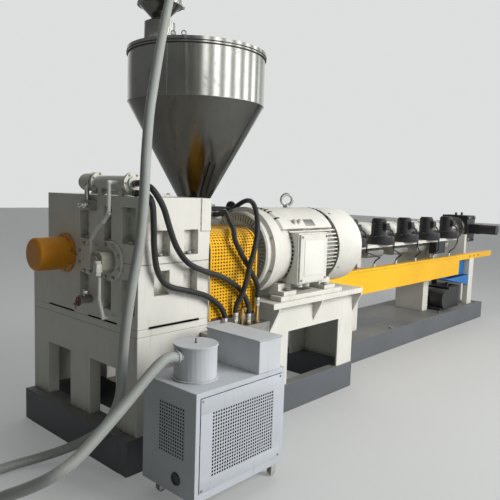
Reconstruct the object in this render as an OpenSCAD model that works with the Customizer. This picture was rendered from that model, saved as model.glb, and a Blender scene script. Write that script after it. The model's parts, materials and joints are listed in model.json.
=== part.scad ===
// Single-screw plastic extruder with its hopper, vacuum loader and air-cooled barrel.
// X runs along the screw from the gearbox's rear face, y = 0 is the screw axis, z = 0 is the floor.

/* [Overall] */
// Height of the screw axis over the floor
screw_h = 1100; // [1080:1:1150]
// Distance from the screw axis to the near face of the gearbox and its pedestal
near_face = 700; // [690:1:710]
// Distance from the screw axis to the far face of the pedestal
far_face = 390; // [380:1:420]

/* [Base frame] */
// Height of the base frame
base_h = 195; // [180:1:205]
// Length of the base frame ahead of the gearbox's rear face
base_len = 2044; // [2030:1:2100]
// Length of the base frame behind the gearbox's rear face
base_tail = 60; // [40:1:90]
// Width of each beam of the base frame
base_rail_w = 75; // [60:1:90]

/* [Gearbox pedestal] */
// Height of the pedestal's top over the floor
pedestal_top = 765; // [755:1:775]
// Thickness of the pedestal's top plate
pedestal_plate = 40; // [30:1:45]
// Height over the floor of the pedestal's openings
pedestal_arch = 525; // [480:1:560]
// Width of each outer post
pedestal_post = 185; // [160:1:200]
// Width of each opening
pedestal_gap = 255; // [230:1:265]
// Thickness of the pedestal's front and rear walls
pedestal_wall = 70; // [50:1:80]
// Thickness of the pedestal's side walls
pedestal_side = 20; // [12:1:30]

/* [Gearbox] */
// Length of the gearbox along the screw
gear_len = 490; // [480:1:500]
// Height of the gearbox's top over the floor
gear_top = 1445; // [1430:1:1460]
// Distance from the screw axis to the far face of the upper case
gear_far = 207; // [200:1:230]
// Distance between the input shaft and the screw
shaft_gap = 470; // [465:1:475]
// Distance between the middle shaft and the screw
mid_gap = 257; // [250:1:262]
// Half the height of the band where the case splits
split_half = 38; // [30:1:42]
// Depth of the panels between the case's ribs
panel_depth = 50; // [20:1:60]
// Height of the top edge of the near wall's upper panels
near_panel_top = 1273; // [1250:1:1300]
// Height of the top edge of the rear wall's upper panels
rear_panel_top = 1390; // [1370:1:1400]
// Height of the bottom edge of the near wall's lower panels
near_panel_low = 932; // [900:1:950]
// Height of the bottom edge of the rear wall's lower panels
rear_panel_low = 835; // [820:1:860]
// Height of the gap under the case between its pads
pad_gap = 8; // [5:1:10]
// Length of each pad along the screw
pad_len = 74; // [65:1:85]
// Radius of the orange rear cap of the screw
cap_r = 95; // [90:1:100]
// Length of the orange rear cap
cap_len = 205; // [180:1:230]
// Radius of the input bearing cover
input_cover_r = 108; // [100:1:110]
// Radius of the middle bearing cover
middle_cover_r = 96; // [90:1:98]
// Thickness of the bearing covers
cover_t = 16; // [12:1:20]

/* [Lubrication] */
// Radius of the oil cooler's shell
cooler_r = 38; // [34:1:42]
// Length of the oil cooler's shell
cooler_len = 400; // [380:1:410]
// X of the oil cooler's axis
cooler_x = 28; // [26:1:50]
// Height of the cooler's axis over the gearbox's top
cooler_lift = 68; // [64:1:74]
// Half width of the oil pump's body
pump_half = 53; // [48:1:58]
// Length of the oil pump's body
pump_len = 75; // [65:1:85]
// Radius of the oil pipes
pipe_r = 11; // [9:1:13]

/* [Coupling guard] */
// Height of the guard's lower edge
guard_low = 745; // [740:1:752]
// Height of the guard's crown
guard_crown = 1262; // [1240:1:1280]
// Half width of the guard
guard_half = 236; // [230:1:240]
// Radius of the guard's upper edges
guard_round = 120; // [100:1:140]
// Thickness of the guard's sheet
guard_sheet = 3; // [2:1:4]
// Gap between the guard and the motor
guard_gap = 70; // [60:1:80]

/* [Motor] */
// Distance from the motor's feet to its shaft
motor_shaft_h = 280; // [276:1:284]
// X of the motor's drive end
motor_x = 955; // [950:1:965]
// Length of the motor's end bell
bell_len = 150; // [146:1:156]
// Length of the motor's finned frame
frame_len = 620; // [600:1:640]
// Length of the motor's fan cowl
cowl_len = 330; // [300:1:340]
// Radius of the motor's frame between its fins
frame_r = 238; // [225:1:242]
// Radius over the motor's fins
fin_r = 272; // [264:1:276]
// Distance from one fin to the next
fin_pitch = 27; // [24:1:30]
// Thickness of a fin
fin_t = 8; // [5:1:10]
// Length of the smooth ring between the end bell and the fins
neck_len = 92; // [80:1:98]
// Radius of the smooth cover over the frame's top
crown_r = 284; // [278:1:288]
// Radius of the motor's fan cowl
cowl_r = 280; // [272:1:284]
// Radius of the end bell's flange
bell_r = 288; // [285:1:292]
// Depth of the step between the bell's front ring and its flange
bell_step = 27; // [22:1:32]
// Number of slots in the end bell's face
bell_slots = 60; // [48:1:60]
// Width of the terminal box
terminal_w = 315; // [290:1:330]
// Height of the terminal box
terminal_h = 336; // [320:1:345]
// Distance from the motor's shaft to the terminal box's near face
terminal_reach = 322; // [315:1:335]

/* [Motor stand] */
// X of the stand's rear wall
stand_x = 1057; // [1050:1:1070]
// Thickness of the stand's walls
stand_wall = 14; // [10:1:18]
// Thickness of the stand's top plate
stand_plate = 38; // [30:1:42]
// How far the top plate reaches past the near wall
stand_ledge = 76; // [60:1:80]
// Height of the stand's opening over the base frame
stand_arch = 365; // [340:1:380]
// Width of the stand's opening
stand_gap = 599; // [560:1:620]
// Height of the rails that carry the motor's feet
rail_h = 32; // [28:1:34]
// Width of the rails that carry the motor's feet
rail_w = 90; // [80:1:100]

/* [Hopper] */
// X of the hopper's axis
hopper_x = 990; // [985:1:1000]
// Radius of the hopper
hopper_r = 468; // [450:1:480]
// Height of the hopper's rim over the floor
hopper_rim = 2398; // [2390:1:2410]
// Height of the hopper's straight wall
hopper_wall_h = 330; // [320:1:345]
// Radius of the hopper's outlet
outlet_r = 90; // [80:1:95]
// Height of the hopper's outlet over the screw axis
outlet_lift = 290; // [280:1:300]
// Thickness of the hopper's sheet
sheet_t = 3; // [2:1:4]
// Height of the lid's cone
lid_rise = 56; // [50:1:62]
// Height of the lid's skirt
lid_skirt = 22; // [16:1:26]

/* [Vacuum receiver] */
// X of the receiver's axis
receiver_x = 662; // [655:1:668]
// Radius of the receiver's body
receiver_r = 138; // [134:1:142]
// Radius of the receiver's neck
neck_r = 99; // [96:1:102]
// Height of the neck's top over the floor
neck_top = 2545; // [2535:1:2560]
// Height of the receiver's cone
receiver_cone = 88; // [80:1:95]
// Height of the receiver's body
receiver_h = 430; // [400:1:450]

/* [Barrel] */
// X of the barrel's far end
barrel_end = 5450; // [5420:1:5500]
// Radius of the bare barrel
barrel_r = 90; // [80:1:95]
// Half width of the covers over the heaters
zone_half = 118; // [110:1:122]
// X of the first blower and heater zone
zone_x = 2112; // [2105:1:2120]
// Distance from one zone to the next
zone_pitch = 494; // [490:1:496]
// Number of zones
zones = 6; // [6:1:6]
// Gap between the covers of two zones
zone_gap = 54; // [40:1:70]
// Height of each air duct
duct_h = 85; // [75:1:90]
// Half width of each air duct
duct_half = 140; // [130:1:150]
// X of the barrel base's far end
barrel_base_end = 5530; // [5510:1:5600]
// Length along the barrel of each leg
leg_len = 125; // [110:1:140]
// Half width of each leg
leg_half = 170; // [160:1:180]

/* [Blowers] */
// Distance from the screw axis to the blowers' axes
blower_y = 280; // [275:1:290]
// Radius of a blower's housing
volute_r = 137; // [130:1:142]
// Height of a blower's housing
volute_h = 72; // [65:1:78]
// Radius of a blower's motor
blower_motor_r = 69; // [64:1:74]
// Height of a blower's motor
blower_motor_h = 170; // [150:1:180]
// Thickness of the rail under the blowers
rail_t = 28; // [24:1:32]
// Height of the rail's underside over the floor
rail_z = 1004; // [1000:1:1010]

/* [Cable trough] */
// Distance from the screw axis to the trough's near side
trough_y = 330; // [325:1:335]
// Depth of the trough from its near to its far side
trough_d = 62; // [55:1:68]
// Height of the trough's underside over the floor
trough_low = 589; // [580:1:600]
// Height of the trough
trough_h = 229; // [220:1:240]
// X of the trough's rear end
trough_x = 2130; // [2120:1:2150]
// X of the end of the trough's deep part
trough_end = 4888; // [4870:1:4900]
// X of the end of the trough's arm
arm_end = 5880; // [5850:1:5900]
// Height of the trough's arm
arm_h = 64; // [58:1:70]
// Distance from one cable gland on the trough to the next
gland_pitch = 412; // [405:1:416]
// X of the cable gland at the far end
gland_end = 4631; // [4620:1:4640]

/* [Screen changer] */
// Length of the screen changer's block
changer_len = 240; // [225:1:260]
// Half height of the screen changer's block
changer_half = 165; // [150:1:175]

/* [Vacuum loader's power unit] */
// X of the cabinet's rear side
cabinet_x = -84; // [-90:1:-80]
// Y of the cabinet's near side
cabinet_y = -1247; // [-1255:1:-1240]
// Length of the cabinet
cabinet_len = 614; // [600:1:630]
// Depth of the cabinet
cabinet_d = 379; // [370:1:385]
// Height of the cabinet's underside over the floor
cabinet_low = 88; // [84:1:95]
// Height of the cabinet's top over the floor
cabinet_top = 600; // [590:1:610]
// Radius of the filter drum
drum_r = 104; // [100:1:108]
// Height of the filter drum
drum_h = 168; // [164:1:172]
// Height of the control box on the cabinet
control_h = 165; // [155:1:175]
// Radius of the vacuum hose
vacuum_r = 26; // [26:1:26]
// Radius of the water hoses
water_r = 16; // [16:1:16]

/* [Hidden] */
$fn = 64;

cream = "#d8d5c8";
orange = "#b06a0c";
steel = "#8c8c8a";
dark = "#55585c";
yellow = "#f0b810";
amber = "#d08a28";
black = "#1c1d1e";
pale = "#b9c0c6";
silver = "#a8a8a2";
brass = "#a88a4a";
blue = "#1272b8";
clear = "#a8a99c";

// Clearance between pieces that would otherwise share a curved face
seat = 0.3;
// How far the elbow at a pipe's bend stands proud of the pipe
elbow = 2;
// How far a cut runs past the face that it opens
past = 1;

input_y = -shaft_gap;
mid_y = -mid_gap;
gear_mid_x = gear_len / 2;
pad_w = 185;
pad_mid_y = -165;
pad_mid_half = 77;
near_margin = 25;
boss_rib = 11;
rear_panel_w = [119, 67, 94];
near_panel_w = 100;
pilaster_w = 72;
pilaster_t = 7;
shoulder_z = screw_h - split_half;
motor_feet_z = screw_h - motor_shaft_h;
stand_top = motor_feet_z - rail_h;
stand_end = base_len;
frame_x = motor_x + bell_len;
cowl_x = frame_x + frame_len;
motor_end = cowl_x + cowl_len;
cooler_z = gear_top + cooler_lift;
cooler_y = -611;
outlet_z = screw_h + outlet_lift;
cone_top = hopper_rim - hopper_wall_h;
zone_low = rail_z - 24 - duct_h;
rail_top = rail_z + rail_t;
trough_top = trough_low + trough_h;
drum_x = cabinet_x + 159;
drum_y = cabinet_y + 187;
pump_x = -cover_t - 6;
return_z = gear_top + water_r + 2;
// The first zone stands behind the motor and has no blower
first_blower = 1;
conduit_r = 7;
guard_end = motor_x - guard_gap;
cone_low = neck_top + 25;
receiver_low = cone_low + receiver_cone;
receiver_top = receiver_low + receiver_h;
motor_offset = 25;
lid_top_r = 150;
gland_y = 26 - trough_y;
inlet_z = 2818;
// Each leg stands in the gap after one zone, a little short of its middle
leg_after = [1, 4];
leg_short = [23, 10];
leg_x = [for (i = [0, 1]) zone_x + (leg_after[i] + 0.5) * zone_pitch - leg_short[i]];
leg_top = zone_low - 60;
end_leg_x = barrel_end - 60;
end_leg_top = screw_h - barrel_r - 95;
// The arm's post stands past the wide trough, and the hydraulic unit stands on the base before it
post_gap = 302;
arm_post_x = trough_end + post_gap;
arm_post_w = 130;
unit_gap = 180;
manifold_y = -near_face - 36;
manifold_z = 655;
manifold_half = 34;

// A box given by its low and high corner
module block(low, high) {
    translate(low) cube(high - low);
}

// A cylinder along X from x0 to x1
module round_x(r, x0, x1, y, z) {
    translate([x0, y, z]) rotate([0, 90, 0]) cylinder(r = r, h = x1 - x0);
}

// A cylinder along Y from y0 to y1
module round_y(r, y0, y1, x, z) {
    translate([x, y0, z]) rotate([-90, 0, 0]) cylinder(r = r, h = y1 - y0);
}

// A cylinder along Z from z0 to z1
module round_z(r, z0, z1, x, y) {
    translate([x, y, z0]) cylinder(r = r, h = z1 - z0);
}

// A turned piece along X from an outline of [radius, x] points
module turned_x(outline, x, y, z) {
    translate([x, y, z]) rotate([0, 90, 0]) rotate_extrude() polygon(outline);
}

// Outline points of a rounded corner about a centre, from one angle to another
function arc(centre, r, from, to, steps = 5) =
    [for (i = [0:steps]) let (a = from + (to - from) * i / steps) centre + r * [cos(a), sin(a)]];

// A bent pipe: straight cylinders between the points, with a round elbow at each bend
module bent_pipe(points, r) {
    for (i = [0:len(points) - 2]) {
        run = points[i + 1] - points[i];
        across = norm([run.x, run.y]);
        translate(points[i]) rotate([0, atan2(across, run.z), atan2(run.y, run.x)])
            cylinder(r = r, h = norm(run));
    }
    if (len(points) > 2) for (i = [1:len(points) - 2]) translate(points[i]) sphere(r = r + elbow);
}

function unit(v) = v / norm(v);
function heading(p, i) = unit(p[min(i + 1, len(p) - 1)] - p[max(i - 1, 0)]);

// Sideways direction at each ring, carried along without twist
function carried(p, side, i = 0) = i == len(p) ? [] :
    let (t = heading(p, i), s = unit(side - t * (side * t))) concat([s], carried(p, s, i + 1));

// A round hose along a route
module hose(points, r, sides = 8) {
    p = points;
    side = carried(p, cross(heading(p, 0), unit([0.3, 0.2, 1])));
    last = len(p) - 1;
    polyhedron(
        points = [for (i = [0:last]) for (k = [0:sides - 1]) let (a = 360 * k / sides)
            p[i] + r * (cos(a) * side[i] + sin(a) * cross(heading(p, i), side[i]))],
        faces = concat([[for (k = [0:sides - 1]) k]], [[for (k = [sides - 1:-1:0]) last * sides + k]],
            [for (i = [0:last - 1]) for (k = [0:sides - 1]) let (n = (k + 1) % sides)
                [i * sides + n, i * sides + k, (i + 1) * sides + k, (i + 1) * sides + n]]));
}

module base_side_rails() {
    color(dark) for (y = [-near_face, far_face - base_rail_w])
        block([-base_tail, y, 0], [base_len, y + base_rail_w, base_h]);
}

module base_cross_members() {
    color(dark) for (x = [-base_tail, gear_len - base_rail_w, stand_x, base_len - base_rail_w])
        block([x, base_rail_w - near_face, 0],
            [x + base_rail_w + (x < 0 ? base_tail : 0), far_face - base_rail_w, base_h]);
}

module pedestal_plate() {
    color(cream) block([0, -near_face, pedestal_top - pedestal_plate], [gear_len, far_face, pedestal_top]);
}

module pedestal_frames() {
    color(cream) for (x = [0, gear_len - pedestal_wall]) difference() {
        block([x, pedestal_side - near_face, base_h],
            [x + pedestal_wall, far_face - pedestal_side, pedestal_top - pedestal_plate]);
        for (y = [pedestal_post - near_face, far_face - pedestal_post - pedestal_gap])
            block([x - past, y, base_h - past], [x + pedestal_wall + past, y + pedestal_gap, pedestal_arch]);
    }
}

module pedestal_sides() {
    color(cream) for (y = [-near_face, far_face - pedestal_side])
        block([0, y, base_h], [gear_len, y + pedestal_side, pedestal_top - pedestal_plate]);
}

// Panels between the ribs of the rear wall
module rear_panels(z0, z1) {
    for (p = [[near_margin - near_face, rear_panel_w[0]], [input_y + boss_rib, rear_panel_w[1]],
            [mid_y + boss_rib, rear_panel_w[2]]])
        block([-past, p[0], z0], [panel_depth, p[0] + p[1], z1]);
}

// Panels between the ribs of a side wall, cut in from y0 to y1
module side_panels(y0, y1, z0, z1) {
    for (x = [gear_mid_x - near_panel_w * 1.42, gear_mid_x + near_panel_w * 0.56])
        block([x, y0, z0], [x + near_panel_w, y1, z1]);
}

module gearbox_lower_case() {
    color(cream) difference() {
        block([0, -near_face, pedestal_top], [gear_len, far_face, screw_h]);
        block([-past, gear_far, shoulder_z], [gear_len + past, far_face + past, screw_h + past]);
        rear_panels(rear_panel_low, shoulder_z - 50);
        side_panels(-near_face - past, panel_depth - near_face, near_panel_low, shoulder_z);
        side_panels(far_face - panel_depth, far_face + past, near_panel_low, shoulder_z - split_half);
        for (y = [[pad_w - near_face, pad_mid_y - pad_mid_half], [pad_mid_y + pad_mid_half, far_face - pad_w]])
            block([-past, y[0], pedestal_top - past], [gear_len + past, y[1], pedestal_top + pad_gap]);
        block([pad_len, -near_face - past, pedestal_top - past],
            [gear_len - pad_len, far_face + past, pedestal_top + pad_gap]);
    }
}

module gearbox_upper_case() {
    color(cream) {
        difference() {
            block([0, -near_face, screw_h], [gear_len, gear_far, gear_top]);
            rear_panels(rear_panel_top - 190, rear_panel_top);
            side_panels(-near_face - past, panel_depth - near_face, screw_h + split_half, near_panel_top);
            side_panels(gear_far - panel_depth, gear_far + past, screw_h + split_half, near_panel_top);
        }
        block([gear_len - pilaster_w, -near_face - pilaster_t, near_panel_top - 10],
            [gear_len, -near_face, gear_top]);
    }
}

module inspection_cover() {
    color(cream) {
        block([140, mid_y - 220, gear_top], [400, mid_y + 220, gear_top + 12]);
        round_z(22, gear_top + 12, gear_top + 40, 270, mid_y + 120);
    }
}

module screw_rear_cap() {
    cap_round = 22;
    color(orange) turned_x(concat([[0, 0], [cap_r + 17, 0], [cap_r + 17, -cover_t], [cap_r, -cover_t - 6]],
        arc([cap_r - cap_round, cap_round - cap_len], cap_round, 0, -90), [[0, -cap_len]]), 0, 0, screw_h);
}

module bearing_covers() {
    color(cream) for (c = [[input_y, input_cover_r], [mid_y, middle_cover_r]])
        turned_x([[0, 0], [c[1], 0], [c[1], 6 - cover_t], [c[1] - 6, -cover_t], [c[1] * 0.72, -cover_t],
            [c[1] * 0.68, -cover_t - 6], [0, -cover_t - 6]], 0, c[0], screw_h);
}

module oil_pump() {
    color(pale) {
        intersection() {
            round_x(pump_half * 1.18, pump_x - pump_len, pump_x, input_y, screw_h);
            block([pump_x - pump_len, input_y - pump_half, screw_h - pump_half],
                [pump_x, input_y + pump_half, screw_h + pump_half]);
        }
        round_x(pump_half * 0.62, pump_x - pump_len - 14, pump_x - pump_len, input_y, screw_h);
    }
}

module oil_cooler() {
    flange_r = cooler_r + 18;
    cooler_end = cooler_y + cooler_len;
    color(cream) difference() {
        union() {
            round_y(cooler_r, cooler_y, cooler_end, cooler_x, cooler_z);
            for (y = [cooler_y, cooler_end - 96, cooler_end - 66])
                round_y(flange_r, y, y + 14, cooler_x, cooler_z);
            round_y(flange_r - 8, cooler_end - 52, cooler_end + 30, cooler_x, cooler_z);
            translate([cooler_x, cooler_end + 30, cooler_z]) sphere(r = flange_r - 8);
            round_y(flange_r - 22, cooler_y - 12, cooler_y, cooler_x, cooler_z);
            for (y = [cooler_y + 60, cooler_end - 150])
                block([cooler_x - 26, y, gear_top], [cooler_x + 26, y + 34, cooler_z - cooler_r * 0.6]);
        }
        round_y(pipe_r + seat, cooler_y - 13, cooler_end - 50, cooler_x, return_z);
    }
}

module oil_pipes() {
    pressure_x = -60;
    pressure_y = input_y + pump_half;
    drop_x = pump_x - pump_len + 12;
    color(cream) {
        bent_pipe([[pressure_x, pressure_y, screw_h], [pressure_x, pressure_y + 52, screw_h],
            [pressure_x, pressure_y + 52, screw_h + 106], [pressure_x, pressure_y - 4, screw_h + 170],
            [pressure_x, pressure_y - 60, screw_h + 210], [pressure_x, input_y - 56, screw_h + 258],
            [pressure_x, input_y - 56, cooler_z], [cooler_x - cooler_r, input_y - 56, cooler_z]], pipe_r);
        bent_pipe([[drop_x, input_y - 12, screw_h - pump_half], [drop_x, input_y - 12, screw_h - 197],
            [drop_x + 12, input_y - 31, screw_h - 290], [-22, input_y - 20, screw_h - 300],
            [0, input_y - 20, screw_h - 300]], pipe_r - 1);
        bent_pipe([[cooler_x, cooler_y - 12, return_z], [cooler_x, cooler_y + cooler_len - 60,
            return_z]], pipe_r);
    }
}

module oil_fittings() {
    block_y = mid_y - 66;
    valve_y = mid_y - 9;
    valve_z = rear_panel_low + 33;
    color(steel) difference() {
        union() {
            block([-44, block_y, rear_panel_top - 28], [0, block_y + 92, rear_panel_top + 26]);
            for (y = [block_y + 26, block_y + 64]) round_x(15, -68, -44, y, rear_panel_top);
            bent_pipe([[-22, block_y + 64, rear_panel_top + 26], [-22, block_y + 64, cooler_z - 20],
                [cooler_x - cooler_r, block_y + 64, cooler_z - 8]], pipe_r + 2);
            round_x(22, -66, 0, valve_y, valve_z);
            round_z(11, valve_z, valve_z + 60, -44, valve_y);
            round_x(27, -84, -66, valve_y, valve_z);
        }
        round_y(cooler_r + 18 + seat, block_y, block_y + 120, cooler_x, cooler_z);
    }
}

// Outline of the guard in Y and Z, drawn in by t all round
module guard_outline(t) {
    half = guard_half - t;
    crown = guard_crown - t;
    bend = guard_round - t;
    polygon(concat([[-half, guard_low]], arc([bend - half, crown - bend], bend, 180, 90),
        arc([half - bend, crown - bend], bend, 90, 0), [[half, guard_low]]));
}

module coupling_guard() {
    color(amber) translate([gear_len, input_y, 0]) rotate([90, 0, 90]) linear_extrude(guard_end - gear_len)
        difference() {
            guard_outline(0);
            translate([0, -guard_sheet]) guard_outline(guard_sheet);
        }
}

// Flat fins on one side of the frame, before they are trimmed to its outer radius
module fin_stack(count) {
    for (i = [0:count - 1])
        block([frame_x + neck_len, -fin_r, (i - (count - 1) / 2) * fin_pitch - fin_t / 2],
            [cowl_x - 14, fin_r, (i - (count - 1) / 2) * fin_pitch + fin_t / 2]);
}

module motor_frame() {
    foot_w = 130;
    foot_y = 268;
    foot_h = 72;
    crown_angle = 57;
    crown_slope = 26;
    color(cream) translate([0, input_y, screw_h]) {
        round_x(frame_r, frame_x, cowl_x + 30, 0, 0);
        round_x(fin_r - 10, frame_x, frame_x + neck_len, 0, 0);
        difference() {
            round_x(fin_r, frame_x + neck_len, cowl_x - 14, 0, 0);
            round_x(frame_r - 5, frame_x, cowl_x, 0, 0);
            difference() {
                block([frame_x, -fin_r - past, -fin_r - past], [cowl_x, fin_r + past, fin_r + past]);
                fin_stack(11);
                rotate([90, 0, 0]) intersection() {
                    fin_stack(7);
                    block([frame_x, 0, -fin_r], [cowl_x, fin_r, fin_r]);
                }
            }
        }
        intersection() {
            difference() {
                union() {
                    round_x(crown_r, frame_x + crown_slope, cowl_x - 24 - crown_slope, 0, 0);
                    translate([frame_x, 0, 0]) rotate([0, 90, 0])
                        cylinder(r1 = crown_r - crown_slope, r2 = crown_r, h = crown_slope);
                    translate([cowl_x - 24 - crown_slope, 0, 0]) rotate([0, 90, 0])
                        cylinder(r1 = crown_r, r2 = crown_r - crown_slope, h = crown_slope);
                }
                round_x(frame_r - 5, frame_x - past, cowl_x, 0, 0);
            }
            translate([frame_x, 0, 0]) rotate([90, 0, 90]) linear_extrude(frame_len)
                polygon([[0, 0], [-2 * crown_r * sin(crown_angle), 2 * crown_r * cos(crown_angle)],
                    [0, 3 * crown_r], [2 * crown_r * sin(crown_angle), 2 * crown_r * cos(crown_angle)]]);
        }
        for (x = [frame_x + 20, cowl_x - 150]) for (side = [-1, 1]) difference() {
            block([x, side < 0 ? -foot_y : foot_y - foot_w, -motor_shaft_h],
                [x + foot_w, side < 0 ? foot_w - foot_y : foot_y, -motor_shaft_h + foot_h]);
            round_x(frame_r - 5, frame_x, cowl_x, 0, 0);
            block([x - past, side < 0 ? -foot_y - past : foot_y - 50, -motor_shaft_h + 28],
                [x + foot_w + past, side < 0 ? 50 - foot_y : foot_y + past, -motor_shaft_h + foot_h + past]);
        }
    }
}

module motor_end_bell() {
    front_r = bell_r - bell_step;
    color(cream) translate([motor_x, input_y, screw_h]) difference() {
        rotate([0, 90, 0]) rotate_extrude() polygon([[0, 0], [front_r - 10, 0], [front_r, 10], [front_r, 38],
            [bell_r, 48], [bell_r, 72], [bell_r - 10, 80], [bell_r - 10, bell_len], [0, bell_len]]);
        for (i = [0:bell_slots - 1]) rotate([360 * i / bell_slots, 0, 0])
            block([-past, -3.5, front_r - 64], [14, 3.5, front_r - 16]);
        round_x(front_r - 90, -past, 22, 0, 0);
    }
}

module motor_fan_cowl() {
    cowl_round = 45;
    color(cream) translate([cowl_x, input_y, screw_h]) difference() {
        rotate([0, 90, 0]) rotate_extrude() polygon(concat([[frame_r + seat, 0], [cowl_r, 0]],
            arc([cowl_r - cowl_round, cowl_len - cowl_round], cowl_round, 0, 90),
            [[0, cowl_len], [0, 31], [frame_r + seat, 31]]));
        rotate([0, 90, 0]) difference() {
            translate([0, 0, -past]) cylinder(r = cowl_r - 5, h = 25 + past);
            translate([0, 0, -2 * past]) cylinder(r = frame_r, h = 25 + 3 * past);
        }
        for (r = [70:34:206]) rotate([0, 90, 0]) translate([0, 0, cowl_len - 12]) difference() {
            cylinder(r = r + 20, h = 12 + past);
            translate([0, 0, -past]) cylinder(r = r, h = 12 + 3 * past);
        }
    }
}

module motor_terminal_box() {
    box_x = frame_x + 100;
    box_low = screw_h - 206;
    box_y = input_y - terminal_reach;
    lid_t = 14;
    color(cream) {
        difference() {
            block([box_x, box_y + lid_t, box_low], [box_x + terminal_w, input_y - 120, box_low + terminal_h]);
            round_x(fin_r + seat, motor_x, motor_end, input_y, screw_h);
        }
        block([box_x + 10, box_y, box_low + 10], [box_x + terminal_w - 10, box_y + lid_t,
            box_low + terminal_h - 10]);
        for (x = [0.3, 0.55]) round_z(24, box_low - 30, box_low, box_x + terminal_w * x, box_y + 70);
    }
}

module motor_lifting_eye() {
    eye_r = 34;
    eye_x = frame_x + frame_len * 0.55;
    color(steel) translate([eye_x, input_y, screw_h + crown_r]) {
        cylinder(r = 22, h = 16);
        translate([0, 0, 14]) cylinder(r = 13, h = 20);
        translate([0, 0, 30 + eye_r]) rotate([90, 0, -42]) rotate_extrude() translate([eye_r, 0]) circle(r = 8);
    }
}

module motor_feet_rails() {
    rail_y = 280;
    color(cream) for (y = [input_y - rail_y, input_y + rail_y - rail_w])
        block([frame_x - 20, y, stand_top], [cowl_x + 55, y + rail_w, motor_feet_z]);
}

module motor_stand_top() {
    color(cream) block([stand_x - 60, -near_face - stand_ledge + 10, stand_top - stand_plate],
        [stand_end, input_y + 280, stand_top]);
}

module motor_stand_walls() {
    wall_y = 10 - near_face;
    far_y = input_y + 240;
    arch_x = stand_x + (stand_end - stand_x - stand_gap) * 0.49;
    top = stand_top - stand_plate;
    color(cream) {
        difference() {
            block([stand_x, wall_y, base_h], [stand_end, far_y, top]);
            block([stand_x + stand_wall, wall_y + stand_wall, base_h - past],
                [stand_end - stand_wall, far_y - stand_wall, top + past]);
            block([arch_x, wall_y - past, base_h - past], [arch_x + stand_gap, far_y + past,
                base_h + stand_arch]);
        }
        for (x = [stand_x, (stand_x + stand_end) / 2 - 30, stand_end - stand_wall])
            translate([x, wall_y, top]) rotate([90, 0, 90]) linear_extrude(stand_wall)
                polygon([[0, 0], [-stand_ledge + 6, 0], [-stand_ledge + 6, -16], [0, -155]]);
    }
}

module screw_lantern() {
    color(cream) turned_x([[0, 0], [172, 0], [172, 36], [132, 44], [132, hopper_x - 230 - gear_len],
        [160, hopper_x - 222 - gear_len], [160, hopper_x - 190 - gear_len], [0, hopper_x - 190 - gear_len]],
        gear_len, 0, screw_h);
}

module feed_throat() {
    neck_half = outlet_r + 40;
    throat_top = outlet_z - 44;
    color(cream) difference() {
        union() {
            block([hopper_x - 190, -180, screw_h - 180], [hopper_x + 190, 180, throat_top - 56]);
            block([hopper_x - neck_half, -neck_half, throat_top - 56], [hopper_x + neck_half, neck_half,
                throat_top]);
            for (x = [0, 90]) round_y(18, -neck_half - 60, -neck_half, hopper_x + x, throat_top - 20);
        }
        round_z(outlet_r, screw_h, throat_top + past, hopper_x, 0);
    }
}

module slide_gate() {
    gate_half = outlet_r + 60;
    low = outlet_z - 44;
    stem_z = low + 15;
    wheel_x = hopper_x + gate_half + 224;
    color(black) {
        difference() {
            block([hopper_x - gate_half, -gate_half, low], [hopper_x + gate_half, gate_half, outlet_z - 14]);
            round_z(outlet_r, low - past, outlet_z, hopper_x, 0);
        }
        round_x(13, hopper_x + gate_half, hopper_x + gate_half + 60, 0, stem_z);
        round_x(9, hopper_x + gate_half + 60, wheel_x - 3, 0, stem_z);
        turned_x([[0, -3], [36, -3], [36, -7], [49, -7], [49, 7], [36, 7], [36, 3], [12, 3], [12, 16], [0, 16]],
            wheel_x, 0, stem_z);
    }
}

module hopper_shell() {
    flange_r = outlet_r + 58;
    color(steel) translate([hopper_x, 0, 0]) rotate_extrude() polygon([
        [outlet_r, outlet_z], [hopper_r - sheet_t, cone_top], [hopper_r - sheet_t, hopper_rim],
        [hopper_r + 5, hopper_rim], [hopper_r + 5, hopper_rim - 14], [hopper_r, hopper_rim - 14],
        [hopper_r, cone_top], [outlet_r + sheet_t, outlet_z], [flange_r, outlet_z],
        [flange_r, outlet_z - 14], [outlet_r, outlet_z - 14]]);
}

module hopper_lid() {
    color(steel) translate([hopper_x, 0, hopper_rim]) {
        cylinder(r = hopper_r + 7, h = lid_skirt);
        translate([0, 0, lid_skirt]) cylinder(r1 = hopper_r, r2 = lid_top_r, h = lid_rise);
    }
}

module hopper_sight_glass() {
    slope = atan2(cone_top - outlet_z, hopper_r - outlet_r);
    glass_z = outlet_z + 176;
    glass_r = outlet_r + (glass_z - outlet_z) / tan(slope) + sheet_t / sin(slope);
    color(black) translate([hopper_x, 0, glass_z]) rotate([0, 0, -103]) translate([glass_r + seat, 0, 0])
        rotate([0, 90 - slope, 0]) {
            difference() {
                block([0, -24, -125], [9, 24, 125]);
                block([4, -13, -110], [9 + past, 13, 110]);
            }
            for (z = [-118, 118]) for (y = [-16, 16]) round_x(4, 9, 13, y, z);
        }
}

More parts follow.
